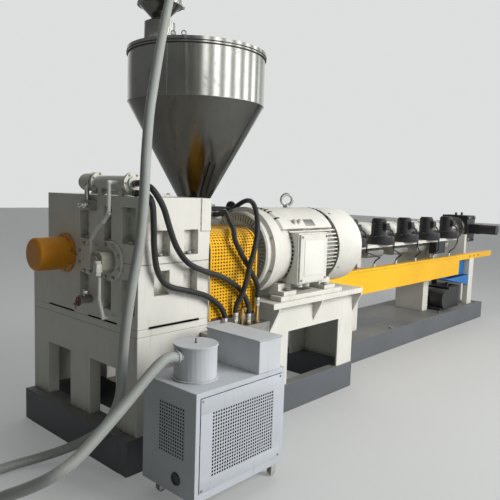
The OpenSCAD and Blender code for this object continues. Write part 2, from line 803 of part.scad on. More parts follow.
module receiver() {
    color(steel) translate([receiver_x, 0, 0]) {
        difference() {
            round_z(neck_r, hopper_rim + lid_skirt + seat, neck_top, 0, 0);
            translate([hopper_x - receiver_x, 0, hopper_rim + lid_skirt + seat])
                cylinder(r1 = hopper_r, r2 = lid_top_r, h = lid_rise);
        }
        translate([0, 0, neck_top]) cylinder(r1 = neck_r, r2 = neck_r * 0.5, h = cone_low - neck_top);
        translate([0, 0, cone_low]) cylinder(r1 = neck_r * 0.5, r2 = receiver_r, h = receiver_cone);
        for (z = [receiver_low - 8, receiver_low + receiver_h * 0.55, receiver_top])
            round_z(receiver_r + 7, z, z + 14, 0, 0);
        round_z(receiver_r, receiver_low, receiver_top, 0, 0);
        translate([0, 0, receiver_top + 14]) cylinder(r1 = receiver_r, r2 = receiver_r * 0.6, h = 60);
        round_y(vacuum_r + 3, -receiver_r - 60, -receiver_r * 0.8, 0, inlet_z);
    }
}

module barrel() {
    color(silver) {
        round_x(barrel_r, hopper_x + 190, barrel_end, 0, screw_h);
        for (x = [hopper_x + 190, barrel_end - 60]) round_x(barrel_r + 55, x, x + 60, 0, screw_h);
    }
}

module heater_zones() {
    len = zone_pitch - zone_gap;
    color(cream) for (i = [0:zones - 1]) translate([zone_x + i * zone_pitch - len / 2, 0, 0]) difference() {
        union() {
            round_x(zone_half, 0, len, 0, screw_h);
            block([0, -zone_half, zone_low], [len, zone_half, screw_h]);
        }
        round_x(barrel_r + seat, -past, len + past, 0, screw_h);
    }
}

module air_ducts() {
    near = blower_y - 30;
    color(silver) for (i = [first_blower:zones - 1]) translate([zone_x + i * zone_pitch, 0, 0]) {
        translate([-duct_half, -zone_half, 0]) rotate([90, 0, 90]) linear_extrude(2 * duct_half)
            polygon(concat([[0, zone_low]], arc([zone_half - near + 30, zone_low + 30], 30, -90, -180),
                arc([zone_half - near + 30, zone_low + duct_h - 30], 30, 180, 90),
                [[0, zone_low + duct_h]]));
        round_z(48, zone_low + duct_h, rail_z, 0, -blower_y + 95);
    }
}

module blower_rail() {
    end = zone_x + (zones - 1) * zone_pitch + 200;
    color(cream) block([zone_x + first_blower * zone_pitch - 200, -blower_y - 55, rail_z], [end, -zone_half - 32, rail_top]);
}

module blower_volutes() {
    color(black) for (i = [first_blower:zones - 1])
            translate([zone_x + i * zone_pitch, -blower_y, rail_top]) {
        cylinder(r = volute_r, h = volute_h);
        block([40, 0, 0], [volute_r, volute_r, volute_h]);
        for (a = [30:60:330]) rotate([0, 0, a]) translate([volute_r - 10, 0, volute_h]) cylinder(r = 6, h = 6);
    }
}

module blower_motors() {
    low = rail_top + volute_h;
    color(black) for (i = [first_blower:zones - 1])
            translate([zone_x + i * zone_pitch - motor_offset, -blower_y, low]) {
        cylinder(r = blower_motor_r + 10, h = 10);
        translate([0, 0, 10]) cylinder(r = blower_motor_r, h = blower_motor_h - 40);
        translate([0, 0, blower_motor_h - 30]) cylinder(r1 = blower_motor_r + 4, r2 = blower_motor_r - 12, h = 30);
        block([blower_motor_r - 20, -28, 40], [blower_motor_r + 26, 28, 115]);
    }
}

// X of each cable gland on the trough
function gland_x(i) = gland_end - (zones - 1 - i) * gland_pitch;

module blower_conduits() {
    low = rail_top + volute_h;
    out = blower_motor_r - motor_offset + 26;
    drop = volute_r + 16;
    drop_y = -blower_y - 72;
    color(black) for (i = [first_blower:zones - 1]) {
        x = zone_x + i * zone_pitch;
        hose([[x + out, -blower_y, low + 76], [x + out + 24, -blower_y, low + 76],
            [x + drop - 8, -blower_y - 22, low + 66], [x + drop, -blower_y - 50, low + 40],
            [x + drop, drop_y, low - 30], [x + drop, drop_y, rail_z - 30],
            [gland_x(i) + 20, drop_y, trough_top + 94], [gland_x(i), gland_y - 12, trough_top + 62],
            [gland_x(i), gland_y, trough_top + 34]], conduit_r);
    }
}

module zone_junction_box() {
    box_x = zone_x + 4.3 * zone_pitch;
    color(black) block([box_x, -trough_y, rail_z - 134], [box_x + 230, 30 - blower_y, rail_z]);
}

module cable_trough() {
    hole_depth = 20;
    color(yellow) {
        block([trough_x, -trough_y, trough_low], [trough_end, trough_d - trough_y, trough_top]);
        difference() {
            block([trough_end, -trough_y, trough_top - arm_h], [arm_end, trough_d - trough_y, trough_top]);
            for (x = [300, 430, 560]) round_y(9, -trough_y - past, hole_depth - trough_y, trough_end + x,
                trough_top - arm_h / 2);
        }
    }
    color(cream) for (i = [0:zones - 1]) round_z(13, trough_top, trough_top + 34, gland_x(i), gland_y);
}

module trough_supports() {
    color(cream) for (x = leg_x) {
        block([x, trough_d - trough_y, trough_low + 40], [x + 60, -leg_half, trough_top]);
        block([x, -leg_half - 50, trough_top], [x + 60, -leg_half, rail_z]);
    }
}

module barrel_legs() {
    color(cream) {
        for (x = leg_x) block([x, -leg_half, base_h], [x + leg_len, leg_half, leg_top]);
        block([arm_post_x, -trough_y, base_h], [arm_post_x + arm_post_w, trough_d - trough_y,
            trough_top - arm_h]);
        block([end_leg_x, -leg_half, base_h], [barrel_end, leg_half, end_leg_top]);
    }
}

module barrel_leg_beams() {
    color(cream) {
        for (x = leg_x) block([x - 20, -leg_half, leg_top], [x + leg_len + 20, leg_half, zone_low]);
        difference() {
            block([end_leg_x, -leg_half, end_leg_top], [barrel_end, leg_half, screw_h - 70]);
            round_x(barrel_r + 55 + seat, end_leg_x - past, barrel_end + past, 0, screw_h);
        }
    }
}

module barrel_base() {
    color(dark) block([base_len, -far_face, 0], [barrel_base_end, far_face, base_h]);
}

module screen_changer() {
    x = barrel_end;
    color(black) {
        block([x, -changer_half, screw_h - changer_half], [x + changer_len, changer_half,
            screw_h + changer_half]);
        round_x(95, x + changer_len, x + changer_len + 90, 0, screw_h);
        for (side = [-1, 1]) {
            block([x + 60, side < 0 ? -changer_half - 130 : changer_half, screw_h - 60],
                [x + changer_len - 60, side < 0 ? -changer_half : changer_half + 130, screw_h + 60]);
        }
        round_y(58, -changer_half - 330, -changer_half - 130, x + changer_len / 2, screw_h);
        for (dx = [30, changer_len - 30]) round_z(14, screw_h + changer_half, screw_h + changer_half + 34,
            x + dx, 0);
    }
}

module hydraulic_unit() {
    tank = [300, 360, 250];
    tank_x = arm_post_x - unit_gap - tank[0];
    tank_y = -300;
    drive_x = tank_x - 120;
    drive_r = 112;
    shaft_z = base_h + 130;
    tank_top = base_h + tank[2];
    color(black) {
        block([tank_x, tank_y, base_h], [tank_x + tank[0], tank_y + tank[1], tank_top]);
        round_y(drive_r, -330, -60, drive_x, shaft_z);
        block([drive_x - 90, tank_y, base_h], [drive_x + 90, -90, base_h + 40]);
        round_x(30, drive_x + 100, tank_x, -200, shaft_z);
        round_z(34, tank_top, tank_top + 90, tank_x + tank[0] * 0.7, -20);
        round_z(15, tank_top, tank_top + 50, tank_x + 70, -240);
    }
}

module drip_tray() {
    t = 3;
    top = 560;
    width = 230;
    length = 640;
    x = arm_post_x;
    // Outline of the chute in X and Z, drawn in by t all round but at its open top
    module chute(t) {
        polygon([[x - length + 6 * t, top - 6], [x - length + 6 * t, top + past * t], [x - t, top + past * t],
            [x - t, top - 114 + t], [x - 30, top - 114 + t]]);
    }
    color(blue) {
        translate([0, width - trough_y, 0]) rotate([90, 0, 0]) difference() {
            linear_extrude(width) chute(0);
            translate([0, 0, t]) linear_extrude(width - 2 * t) chute(t);
        }
        block([x - 150, trough_d - trough_y, top + past], [x + arm_post_w, trough_d - trough_y + t,
            trough_top - 20]);
    }
}

module water_manifold() {
    color(silver) {
        block([430, manifold_y - manifold_half + 4, manifold_z - manifold_half],
            [960, -near_face, manifold_z + manifold_half]);
    }
}

module water_valves() {
    low = manifold_z + manifold_half;
    ends = [[590, 722], [680, 742], [793, 722], [869, 812]];
    color(brass) for (e = ends) {
        round_z(12, low, e[1], e[0], manifold_y);
        round_z(19, low, low + 14, e[0], manifold_y);
    }
    color(brass) {
        round_z(12, low, low + 96, 735, manifold_y);
        round_z(20, low + 40, low + 78, 735, manifold_y);
        block([727, manifold_y - 8, low + 96], [770, manifold_y + 8, low + 104]);
    }
}

module loader_cabinet() {
    color(pale) difference() {
        block([cabinet_x, cabinet_y, cabinet_low], [cabinet_x + cabinet_len, cabinet_y + cabinet_d,
            cabinet_top]);
        block([cabinet_x + 26, cabinet_y - past, cabinet_low + 40], [cabinet_x + cabinet_len - 26,
            cabinet_y + 3, cabinet_top - 26]);
    }
    color(pale) block([cabinet_x + 29, cabinet_y, cabinet_low + 43], [cabinet_x + cabinet_len - 29,
        cabinet_y + 3, cabinet_top - 29]);
}

module loader_control_box() {
    color(pale) {
        block([cabinet_x + 409, cabinet_y, cabinet_top], [cabinet_x + cabinet_len - 40,
            cabinet_y + cabinet_d, cabinet_top + control_h]);
        block([cabinet_x + 402, cabinet_y - 4, cabinet_top + control_h], [cabinet_x + cabinet_len - 33,
            cabinet_y + cabinet_d + 4, cabinet_top + control_h + 6]);
    }
}

module loader_filter_drum() {
    color(pale) {
        round_z(drum_r + 9, cabinet_top, cabinet_top + 8, drum_x, drum_y);
        round_z(drum_r, cabinet_top + 8, cabinet_top + drum_h - 10, drum_x, drum_y);
        round_z(drum_r + 3, cabinet_top + drum_h - 10, cabinet_top + drum_h, drum_x, drum_y);
        round_x(vacuum_r + 3, drum_x - drum_r - 15, drum_x - drum_r * 0.7, drum_y, cabinet_top + 121);
    }
}

module loader_casters() {
    wheel_r = 34;
    for (x = [cabinet_x + 50, cabinet_x + cabinet_len - 50]) for (y = [cabinet_y + 50,
            cabinet_y + cabinet_d - 50]) color(black) {
        round_y(wheel_r, y - 12, y + 12, x + 12, wheel_r);
        for (side = [-1, 1]) block([x - 14, y + side * 16 - 2, wheel_r - 8], [x + 26, y + side * 16 + 2,
            cabinet_low - 10]);
        block([x - 20, y - 22, cabinet_low - 10], [x + 32, y + 22, cabinet_low]);
        round_y(5, y - 18, y + 18, x + 12, wheel_r);
    }
}

// From the drum's inlet down to the floor, round behind the unit and up to the receiver
vacuum_route = [[-44, -1060, 721], [-112, -1060, 721], [-195, -1060, 670], [-350, -1060, 547],
    [-540, -1060, 410], [-635, -1040, 355], [-705, -960, 295], [-775, -850, 232], [-835, -740, 150],
    [-870, -630, 78], [-872, -520, 38], [-835, -400, 27], [-770, -310, 26], [-660, -245, 26],
    [-550, -222, 26], [-422, -228, 29], [-310, -270, 44], [-205, -345, 82], [-130, -440, 145],
    [-105, -560, 240], [-96, -650, 361], [-98, -702, 480], [-115, -737, 620], [-124, -770, 790],
    [-112, -797, 1000], [-72, -803, 1210], [-48, -802, 1430], [-18, -775, 1640], [56, -700, 1860],
    [160, -610, 2080], [295, -490, 2320], [440, -375, 2580], [545, -318, 2715], [620, -275, 2788],
    [662, -242, 2818], [662, -198, 2818]];
// From the cooler's near end along the gearbox's near wall to the manifold
cooler_supply_route = [[28, -623, 1513], [28, -680, 1513], [40, -752, 1488], [90, -776, 1404],
    [140, -768, 1300], [200, -758, 1190], [290, -750, 1100], [420, -744, 1043], [560, -740, 998],
    [690, -738, 925], [765, -736, 850], [793, -736, 780], [793, -736, 722]];
// From the pipe under the cooler along the gearbox's near wall to the manifold
cooler_return_route = [[28, -623, 1463], [28, -690, 1463], [36, -737, 1444], [48, -748, 1400],
    [58, -746, 1300], [66, -742, 1190], [92, -740, 1070], [160, -740, 990], [300, -738, 946],
    [440, -736, 902], [550, -736, 830], [590, -736, 765], [590, -736, 722]];
// From the throat's first stub over the motor's drive end to the manifold
throat_supply_route = [[990, -190, 1326], [990, -245, 1326], [935, -360, 1352], [860, -470, 1330],
    [770, -580, 1300], [690, -690, 1262], [650, -742, 1210], [700, -746, 1130], [790, -744, 1020],
    [862, -738, 920], [869, -736, 860], [869, -736, 812]];
// From the throat's second stub over the motor's drive end to the manifold
throat_return_route = [[1080, -190, 1326], [1080, -245, 1326], [1078, -340, 1390], [1060, -430, 1425],
    [1010, -530, 1425], [930, -640, 1385], [850, -735, 1290], [790, -778, 1180], [740, -784, 1050],
    [700, -780, 920], [682, -745, 830], [680, -736, 785], [680, -736, 742]];

module vacuum_hose() {
    color(clear) hose(vacuum_route, vacuum_r);
}

module cooler_supply_hose() {
    color(black) hose(cooler_supply_route, water_r);
}

module cooler_return_hose() {
    color(black) hose(cooler_return_route, water_r);
}

module throat_supply_hose() {
    color(black) hose(throat_supply_route, water_r);
}

module throat_return_hose() {
    color(black) hose(throat_return_route, water_r);
}

base_side_rails();
base_cross_members();
pedestal_plate();
pedestal_frames();
pedestal_sides();
gearbox_lower_case();
gearbox_upper_case();
inspection_cover();
screw_rear_cap();
bearing_covers();
oil_pump();
oil_cooler();
oil_pipes();
oil_fittings();
coupling_guard();
motor_frame();
motor_end_bell();
motor_fan_cowl();
motor_terminal_box();
motor_lifting_eye();
motor_feet_rails();
motor_stand_top();
motor_stand_walls();
screw_lantern();
feed_throat();
slide_gate();
hopper_shell();
hopper_lid();
hopper_sight_glass();
receiver();
barrel();
heater_zones();
air_ducts();
blower_rail();
blower_volutes();
blower_motors();
blower_conduits();
zone_junction_box();
cable_trough();
trough_supports();
barrel_legs();
barrel_leg_beams();
barrel_base();
screen_changer();
hydraulic_unit();
drip_tray();
water_manifold();
water_valves();
loader_cabinet();
loader_control_box();
loader_filter_drum();
loader_casters();
vacuum_hose();
cooler_supply_hose();
cooler_return_hose();
throat_supply_hose();
throat_return_hose();
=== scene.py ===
"""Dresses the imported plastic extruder: finishes, perforated sheets, fasteners, hoses, studio and camera."""
import json
import logging
import math
from collections.abc import Callable
from dataclasses import dataclass, field
from enum import Enum

import bpy
from mathutils import Matrix, Quaternion, Vector


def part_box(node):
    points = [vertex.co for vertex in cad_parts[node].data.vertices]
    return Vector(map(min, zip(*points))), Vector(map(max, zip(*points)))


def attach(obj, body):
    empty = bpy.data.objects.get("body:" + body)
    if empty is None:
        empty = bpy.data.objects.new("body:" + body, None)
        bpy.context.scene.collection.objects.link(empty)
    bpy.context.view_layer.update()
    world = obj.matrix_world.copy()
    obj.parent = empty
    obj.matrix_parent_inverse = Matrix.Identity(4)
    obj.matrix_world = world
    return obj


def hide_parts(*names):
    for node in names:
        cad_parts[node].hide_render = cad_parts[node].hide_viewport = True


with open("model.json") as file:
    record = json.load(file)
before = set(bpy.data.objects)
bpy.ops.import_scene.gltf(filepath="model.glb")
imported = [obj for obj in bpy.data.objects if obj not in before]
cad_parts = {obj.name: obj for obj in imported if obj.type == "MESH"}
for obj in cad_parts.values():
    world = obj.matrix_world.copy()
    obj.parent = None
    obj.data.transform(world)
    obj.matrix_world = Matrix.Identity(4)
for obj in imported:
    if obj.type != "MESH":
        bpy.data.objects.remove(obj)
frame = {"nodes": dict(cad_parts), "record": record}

logging.basicConfig(level=logging.INFO, format="%(message)s")
log = logging.getLogger("extruder")

MM = 0.001
SCREW_Z = 1.1  # height of the screw, and of the motor's shaft
MOTOR_Y = -0.470  # where the motor's shaft runs, beside the screw
HEX = 6  # sides of a nut
Colour = tuple[float, float, float]
Point = tuple[float, float, float]
Rectangle = tuple[float, float, float, float]  # lowest x and z, then highest x and z


class Slot(Enum):
    """The record's material slots that new pieces take their finish from."""

    CREAM = "cream_paint"
    DARK = "dark_paint"
    ORANGE = "orange_paint"
    YELLOW = "yellow_paint"
    PUMP = "pump_enamel"
    STAINLESS = "stainless"
    STEEL = "bare_steel"
    BLACK = "black_paint"
    PALE = "pale_coat"
    RUBBER = "black_rubber"
    CLEAR = "clear_hose"
    ZINC = "zinc_sheet"
    BLUE = "blue_paint"
    BRASS = "brass_fittings"


class Axis(Enum):
    """Directions that a turned or drilled shape can point in."""

    X = Vector((1, 0, 0))
    Y = Vector((0, 1, 0))
    Z = Vector((0, 0, 1))
    BACK_X = Vector((-1, 0, 0))
    BACK_Y = Vector((0, -1, 0))


class Socket:
    """An output of a node tree that Python's operators build on."""

    def __init__(self, tree: "Tree", output: bpy.types.NodeSocket) -> None:
        """Wraps an output.

        Args:
            tree: the tree that the output belongs to.
            output: the node's output socket.
        """
        self.tree = tree
        self.output = output

    def _math(self, operation: str, *values: "Socket | float") -> "Socket":
        """Adds a Math node, or a Vector Math node where this output is a vector.

        Args:
            operation: what the node works out.
            values: what it works on, in order.

        Returns:
            The result.
        """
        if self.output.type == "VECTOR":
            triples = [(v,) * 3 if isinstance(v, (int, float)) else v for v in values]
            return self.tree.add("VectorMath", {"operation": operation}, dict(enumerate(triples)))
        return self.tree.add("Math", {"operation": operation}, dict(enumerate(values)))

    def __add__(self, other: "Socket | float") -> "Socket":
        """The sum with a socket or a number."""
        return self._math("ADD", self, other)

    __radd__ = __add__

    def __sub__(self, other: "Socket | float") -> "Socket":
        """The difference from a socket or a number."""
        return self._math("SUBTRACT", self, other)

    def __rsub__(self, other: float) -> "Socket":
        """A number less this."""
        return self._math("SUBTRACT", other, self)

    def __mul__(self, other: "Socket | float") -> "Socket":
        """The product with a socket or a number."""
        return self._math("MULTIPLY", self, other)

    __rmul__ = __mul__

    def __truediv__(self, other: "Socket | float") -> "Socket":
        """The quotient by a socket or a number."""
        return self._math("DIVIDE", self, other)

    def __rtruediv__(self, other: float) -> "Socket":
        """A number divided by this."""
        return self._math("DIVIDE", other, self)

    def __pow__(self, power: float) -> "Socket":
        """A power of this."""
        return self._math("POWER", self, power)

    def times(self, factors: Point) -> "Socket":
        """Scales a vector by its own factor on each axis."""
        return self.tree.add("VectorMath", {"operation": "MULTIPLY"}, {0: self, 1: factors})

    def dot(self, other: "Socket | Point") -> "Socket":
        """The dot product with another vector."""
        return self.tree.add("VectorMath", {"operation": "DOT_PRODUCT"}, {0: self, 1: other}, "Value")

    def step(self, low: float, high: float) -> "Socket":
        """Rises smoothly from 0 to 1, or falls where low is the larger.

        Args:
            low: the value at which the result is 0.
            high: the value at which the result is 1.

        Returns:
            The result.
        """
        settings = {"interpolation_type": "SMOOTHSTEP", "clamp": True}
        flip = low > high
        values = {"Value": self, "From Min": min(low, high), "From Max": max(low, high),
                  "To Min": float(flip), "To Max": float(not flip)}
        return self.tree.add("MapRange", settings, values)


class Tree:
    """The node tree of a material or a world, with one call that adds any node."""

    def __init__(self, owner: bpy.types.Material | bpy.types.World) -> None:
        """Starts an empty tree.

        Args:
            owner: the material or world that the tree belongs to.
        """
        self.owner = owner
        owner.use_nodes = True
        self.nodes = owner.node_tree.nodes
        self.links = owner.node_tree.links
        self.nodes.clear()

    def add(self, kind: str, settings: dict | None = None, values: dict | None = None,
            output: str | int = 0) -> Socket:
        """Adds a node and returns one of its outputs.

        Args:
            kind: the node's type without its ShaderNode prefix.
            settings: properties of the node itself.
            values: numbers, colours or sockets for its inputs, by name or index.
            output: name or index of the output to return.

        Returns:
            The chosen output.
        """
        node = self.nodes.new("ShaderNode" + kind)
        for key, value in (settings or {}).items():
            setattr(node, key, value)
        for key, value in (values or {}).items():
            self.feed(node.inputs[key], value)
        return Socket(self, node.outputs[output]) if node.outputs else Socket(self, None)

    def feed(self, target: bpy.types.NodeSocket, value: Socket | float | tuple) -> None:
        """Links a socket to an input, or sets the input's constant.

        Args:
            target: the input.
            value: a socket, number, colour or vector.
        """
        if isinstance(value, Socket):
            self.links.new(value.output, target)
        elif target.type == "RGBA" and len(value) == 3:
            target.default_value = (*value, 1.0)
        else:
            target.default_value = value

    def blend(self, first: Socket | Colour, second: Socket | Colour, factor: Socket | float) -> Socket:
        """Mixes two colours by a factor from 0 to 1."""
        colours = {0: factor, 6: first, 7: second}
        return self.add("Mix", {"data_type": "RGBA", "clamp_factor": True}, colours, 2)

    def coords(self, stretch: Point = (1, 1, 1)) -> Socket:
        """Object coordinates in metres, stretched by a factor on each axis."""
        return self.add("TexCoord", output="Object").times(stretch)

    def noise(self, scale: float, detail: float = 3.0, stretch: Point = (1, 1, 1),
              rough: float = 0.55) -> Socket:
        """Noise from 0 to 1 over the piece's own coordinates."""
        values = {"Vector": self.coords(stretch), "Scale": scale, "Detail": detail, "Roughness": rough}
        return self.add("TexNoise", None, values, "Fac")

    def edges(self, radius: float) -> Socket:
        """A mask that rises to 1 on the piece's convex and concave edges.

        Args:
            radius: how far from an edge it reaches, in metres.

        Returns:
            The mask.
        """
        rounded = self.add("Bevel", {"samples": 4}, {"Radius": radius})
        plain = self.add("NewGeometry", output="Normal")
        return (1.0 - rounded.dot(plain)).step(0.004, 0.12)

    def hollows(self, distance: float) -> Socket:
        """A mask that rises to 1 where the surface is shut in, which the finishes use to paint shade in
        hollows.
        """
        return self.add("AmbientOcclusion", {"samples": 4}, {"Distance": distance}, "AO").step(0.85, 0.25)

    def facing_up(self) -> Socket:
        """A mask that is 1 on level tops and 0 on walls and undersides."""
        return self.add("NewGeometry", output="Normal").dot((0, 0, 1)).step(0.55, 0.95)

    def height(self) -> Socket:
        """Height over the floor in metres."""
        return self.add("TexCoord", output="Object").dot((0, 0, 1))

    def bump(self, height: Socket, distance: float, strength: float = 1.0) -> Socket:
        """Turns a height from 0 to 1 into a normal."""
        return self.add("Bump", None, {"Height": height, "Distance": distance, "Strength": strength})

    def surface(self, values: dict) -> bpy.types.Material:
        """Ends the tree in a Principled shader.

        Args:
            values: numbers, colours or sockets for the shader's inputs, by name.

        Returns:
            The tree's material.
        """
        shader = self.add("BsdfPrincipled", None, values)
        self.add("OutputMaterial", None, {"Surface": shader})
        return self.owner


@dataclass(frozen=True)
class Paint:
    """An enamelled or powder-coated surface with dust, dirt, painted shade in its hollows and chipped edges.

    Args:
        name: the material's name.
        colour: linear colour of the clean paint.
        roughness: roughness of the clean paint.
        wear: how much of the edges is chipped, from 0 to 1.
        primer: colour that shows where the paint is chipped.
        dust: how strongly dust lies on level tops.
        grime_and_shade: how strongly dirt runs darken it low down, and how strongly painted shade, broken by
            patchy dirt, darkens its hollows.
        grain: height in metres of the coat's texture.
        grain_scale: how fine the coat's texture is.
    """

    name: str
    colour: Colour
    roughness: float = 0.42
    wear: float = 0.35
    primer: Colour = (0.16, 0.13, 0.11)
    dust: float = 0.35
    grime_and_shade: float = 0.5
    grain: float = 0.00012
    grain_scale: float = 420.0

    DUST = (0.46, 0.43, 0.37)
    # colour of the dirt runs, and of the painted shade in hollows
    DIRT_AND_SHADE = (0.10, 0.085, 0.065)

    def build(self) -> bpy.types.Material:
        """Builds the shader of an enamelled surface.

        Returns:
            The Blender material.
        """
        tree = Tree(bpy.data.materials.new(self.name))
        broad = tree.noise(scale=2.2, detail=4)
        fine = tree.noise(scale=38, detail=5)
        streaks = tree.noise(scale=9, detail=4, stretch=(3.2, 3.2, 0.35))
        tone = tuple(c * 0.86 for c in self.colour)
        base = tree.blend(self.colour, tone, broad.step(0.35, 0.72) * 0.8)
        # painted shade: the ambient-occlusion mask darkens hollows, where shade falls, broken up by patchy
        # dirt
        hollow_shade_and_dirt = tree.hollows(0.07) * fine.step(0.3, 0.62) * self.grime_and_shade
        runs = streaks.step(0.56, 0.76) * tree.height().step(2.2, 0.3) * (0.34 * self.grime_and_shade)
        base = tree.blend(base, self.DIRT_AND_SHADE, runs)
        base = tree.blend(base, self.DIRT_AND_SHADE, hollow_shade_and_dirt)
        settled = tree.facing_up() * broad.step(0.28, 0.6) * self.dust
        base = tree.blend(base, self.DUST, settled)
        chips = tree.edges(0.004) * fine.step(0.60 - 0.14 * self.wear, 0.70) * (0.55 + 0.45 * self.wear)
        base = tree.blend(base, self.primer, chips)
        rough = broad * 0.10 + fine * 0.10 + (self.roughness - 0.09) + settled * 0.35 + hollow_shade_and_dirt * 0.25
        relief = tree.noise(scale=self.grain_scale, detail=2)
        return tree.surface({"Base Color": base, "Roughness": rough, "IOR": 1.5,
                             "Normal": tree.bump(relief - chips * 2.0, self.grain)})


@dataclass(frozen=True)
class Metal:
    """A bare metal surface with drawn or turned marks, stains, dulled patches, and painted shade in its
    hollows and on its underside.

    Args:
        name: the material's name.
        colour: linear reflectance of the clean metal.
        roughness: roughness of the clean metal.
        brush: how the marks are stretched along each axis.
        stain_and_shade: how strongly stains, and painted shade in hollows, darken it.
        stain_and_shade_colour: colour of the stains and of the painted shade.
        relief: height in metres of the marks.
        under: how much darker it is where it faces down, a painted shade and painted reflection of the dark
            floor.
    """

    name: str
    colour: Colour
    roughness: float = 0.28
    brush: Point = (1, 1, 26)
    stain_and_shade: float = 0.5
    stain_and_shade_colour: Colour = (0.10, 0.085, 0.06)
    relief: float = 0.00005
    under: float = 0.0

    def build(self) -> bpy.types.Material:
        """Builds the shader of a metal surface.

        Returns:
            The Blender material.
        """
        tree = Tree(bpy.data.materials.new(self.name))
        marks = tree.noise(scale=26, detail=4, stretch=self.brush, rough=0.7)
        broad = tree.noise(scale=3.1, detail=5)
        spots = tree.noise(scale=24, detail=4)
        dull = tuple(c * 0.72 for c in self.colour)
        base = tree.blend(self.colour, dull, broad.step(0.4, 0.7))
        # spotty stains, and painted shade in hollows from the ambient-occlusion mask
        stains_and_hollow_shade = (spots.step(0.55, 0.75) * 0.5 + tree.hollows(0.05)) * self.stain_and_shade
        base = tree.blend(base, self.stain_and_shade_colour, stains_and_hollow_shade)
        if self.under:
            # painted shade and reflection: the metal darkens where it faces down to the floor
            below = tree.add("NewGeometry", output="Normal").dot((0, 0, -1)).step(0.15, 0.45) * self.under
            base = tree.blend(base, tuple(c * 0.12 for c in self.colour), below)
        rough = marks * 0.14 + broad * 0.12 + (self.roughness - 0.12) + stains_and_hollow_shade * 0.3
        return tree.surface({"Base Color": base, "Metallic": 1.0 - stains_and_hollow_shade * 0.6, "Roughness": rough,
                             "Normal": tree.bump(marks, self.relief)})


@dataclass(frozen=True)
class Moulded:
    """Rubber or plastic with scuffs, a dusty bloom and a fine moulded grain.

    Args:
        name: the material's name.
        colour: linear colour.
        roughness: roughness of the clean surface.
        bloom: how pale and dusty it has become.
        bloom_colour: colour of the dust on it.
        coat: weight of a clear gloss over it.
        shine: how strongly it mirrors.
    """

    name: str
    colour: Colour
    roughness: float = 0.5
    bloom: float = 0.3
    bloom_colour: Colour = (0.34, 0.33, 0.30)
    coat: float = 0.0
    shine: float = 0.5

    def build(self) -> bpy.types.Material:
        """Builds the shader of a moulded surface.

        Returns:
            The Blender material.
        """
        tree = Tree(bpy.data.materials.new(self.name))
        broad = tree.noise(scale=5, detail=4)
        scuffs = tree.noise(scale=60, detail=5, stretch=(1, 1, 0.3))
        dusty = (broad.step(0.35, 0.75) * 0.6 + tree.facing_up() * 0.6) * self.bloom
        base = tree.blend(self.colour, self.bloom_colour, dusty + scuffs.step(0.62, 0.8) * (0.3 * self.bloom))
        rough = scuffs * 0.22 + (self.roughness - 0.1) + dusty * 0.3
        grain = tree.bump(tree.noise(scale=520, detail=2), distance=0.0001)
        return tree.surface({"Base Color": base, "Roughness": rough, "Coat Weight": self.coat,
                             "Specular IOR Level": self.shine, "Coat Roughness": 0.25, "Normal": grain})


FINISHES = {
    Slot.CREAM: Paint("cream_enamel", (0.76, 0.745, 0.69), 0.36, wear=0.3, dust=0.3, grime_and_shade=0.65),
    Slot.DARK: Paint("dark_enamel", (0.115, 0.126, 0.14), 0.5, wear=0.5, dust=0.35, grime_and_shade=0.75),
    Slot.ORANGE: Paint("orange_enamel", (0.74, 0.29, 0.003), 0.34, wear=0.3, dust=0.05, grime_and_shade=0.5),
    Slot.YELLOW: Paint("yellow_coat", (0.95, 0.52, 0.004), 0.3, wear=0.25, dust=0.15, grime_and_shade=0.15),
    Slot.PUMP: Paint("pump_enamel", (0.42, 0.40, 0.34), 0.4, wear=0.6, grime_and_shade=0.9),
    Slot.BLACK: Paint("black_enamel", (0.018, 0.018, 0.020), 0.42, wear=0.35, primer=(0.16, 0.15, 0.14),
                      dust=0.16, grime_and_shade=0.2),
    Slot.PALE: Paint("pale_powder_coat", (0.60, 0.625, 0.66), 0.5, wear=0.2, dust=0.12, grime_and_shade=0.4,
                     grain=0.0003, grain_scale=260),
    Slot.BLUE: Paint("blue_enamel", (0.012, 0.16, 0.46), 0.36, wear=0.3, dust=0.3, grime_and_shade=0.4),
    # the hopper's stainless is darkened where it faces down: painted reflection of the floor
    Slot.STAINLESS: Metal("stainless_sheet", (0.57, 0.56, 0.52), 0.17, (1, 1, 30), 0.35, under=0.85),
    Slot.STEEL: Metal("machined_steel", (0.50, 0.49, 0.46), 0.34, (22, 1, 1), 0.6),
    Slot.ZINC: Metal("galvanised_sheet", (0.50, 0.51, 0.50), 0.42, (1, 1, 4), 0.5, (0.2, 0.19, 0.17)),
    Slot.BRASS: Metal("cast_brass", (0.62, 0.43, 0.19), 0.36, (6, 6, 1), 0.6, (0.16, 0.11, 0.05)),
    Slot.RUBBER: Moulded("black_rubber", (0.014, 0.015, 0.015), 0.4, 0.09),
    Slot.CLEAR: Moulded("ribbed_hose_vinyl", (0.34, 0.36, 0.34), 0.36, 0.3, (0.33, 0.33, 0.29), 0.25),
}
MATERIALS = {slot: finish.build() for slot, finish in FINISHES.items()}
AMBER = Paint("amber_coat", (0.90, 0.47, 0.012), 0.38, wear=0.35, dust=0.1, grime_and_shade=0.1).build()
BRIGHT = Metal("plated_steel", (0.80, 0.79, 0.76), 0.3, (1, 1, 6), 0.25).build()
RUSTY = Paint("rusted_angle", (0.13, 0.045, 0.018), 0.7, wear=0.3, primer=(0.2, 0.08, 0.03), dust=0.3,
              grime_and_shade=0.6).build()
# near-black for the case's joint and the trough lid's seam, and painted shade inside holes, slits, louvres,
# gaps and behind perforated sheets
SHADE_AND_JOINT_BLACK = Moulded("painted_shade_and_joint_black", (0.004, 0.004, 0.005), 0.8, 0.02, shine=0.04).build()
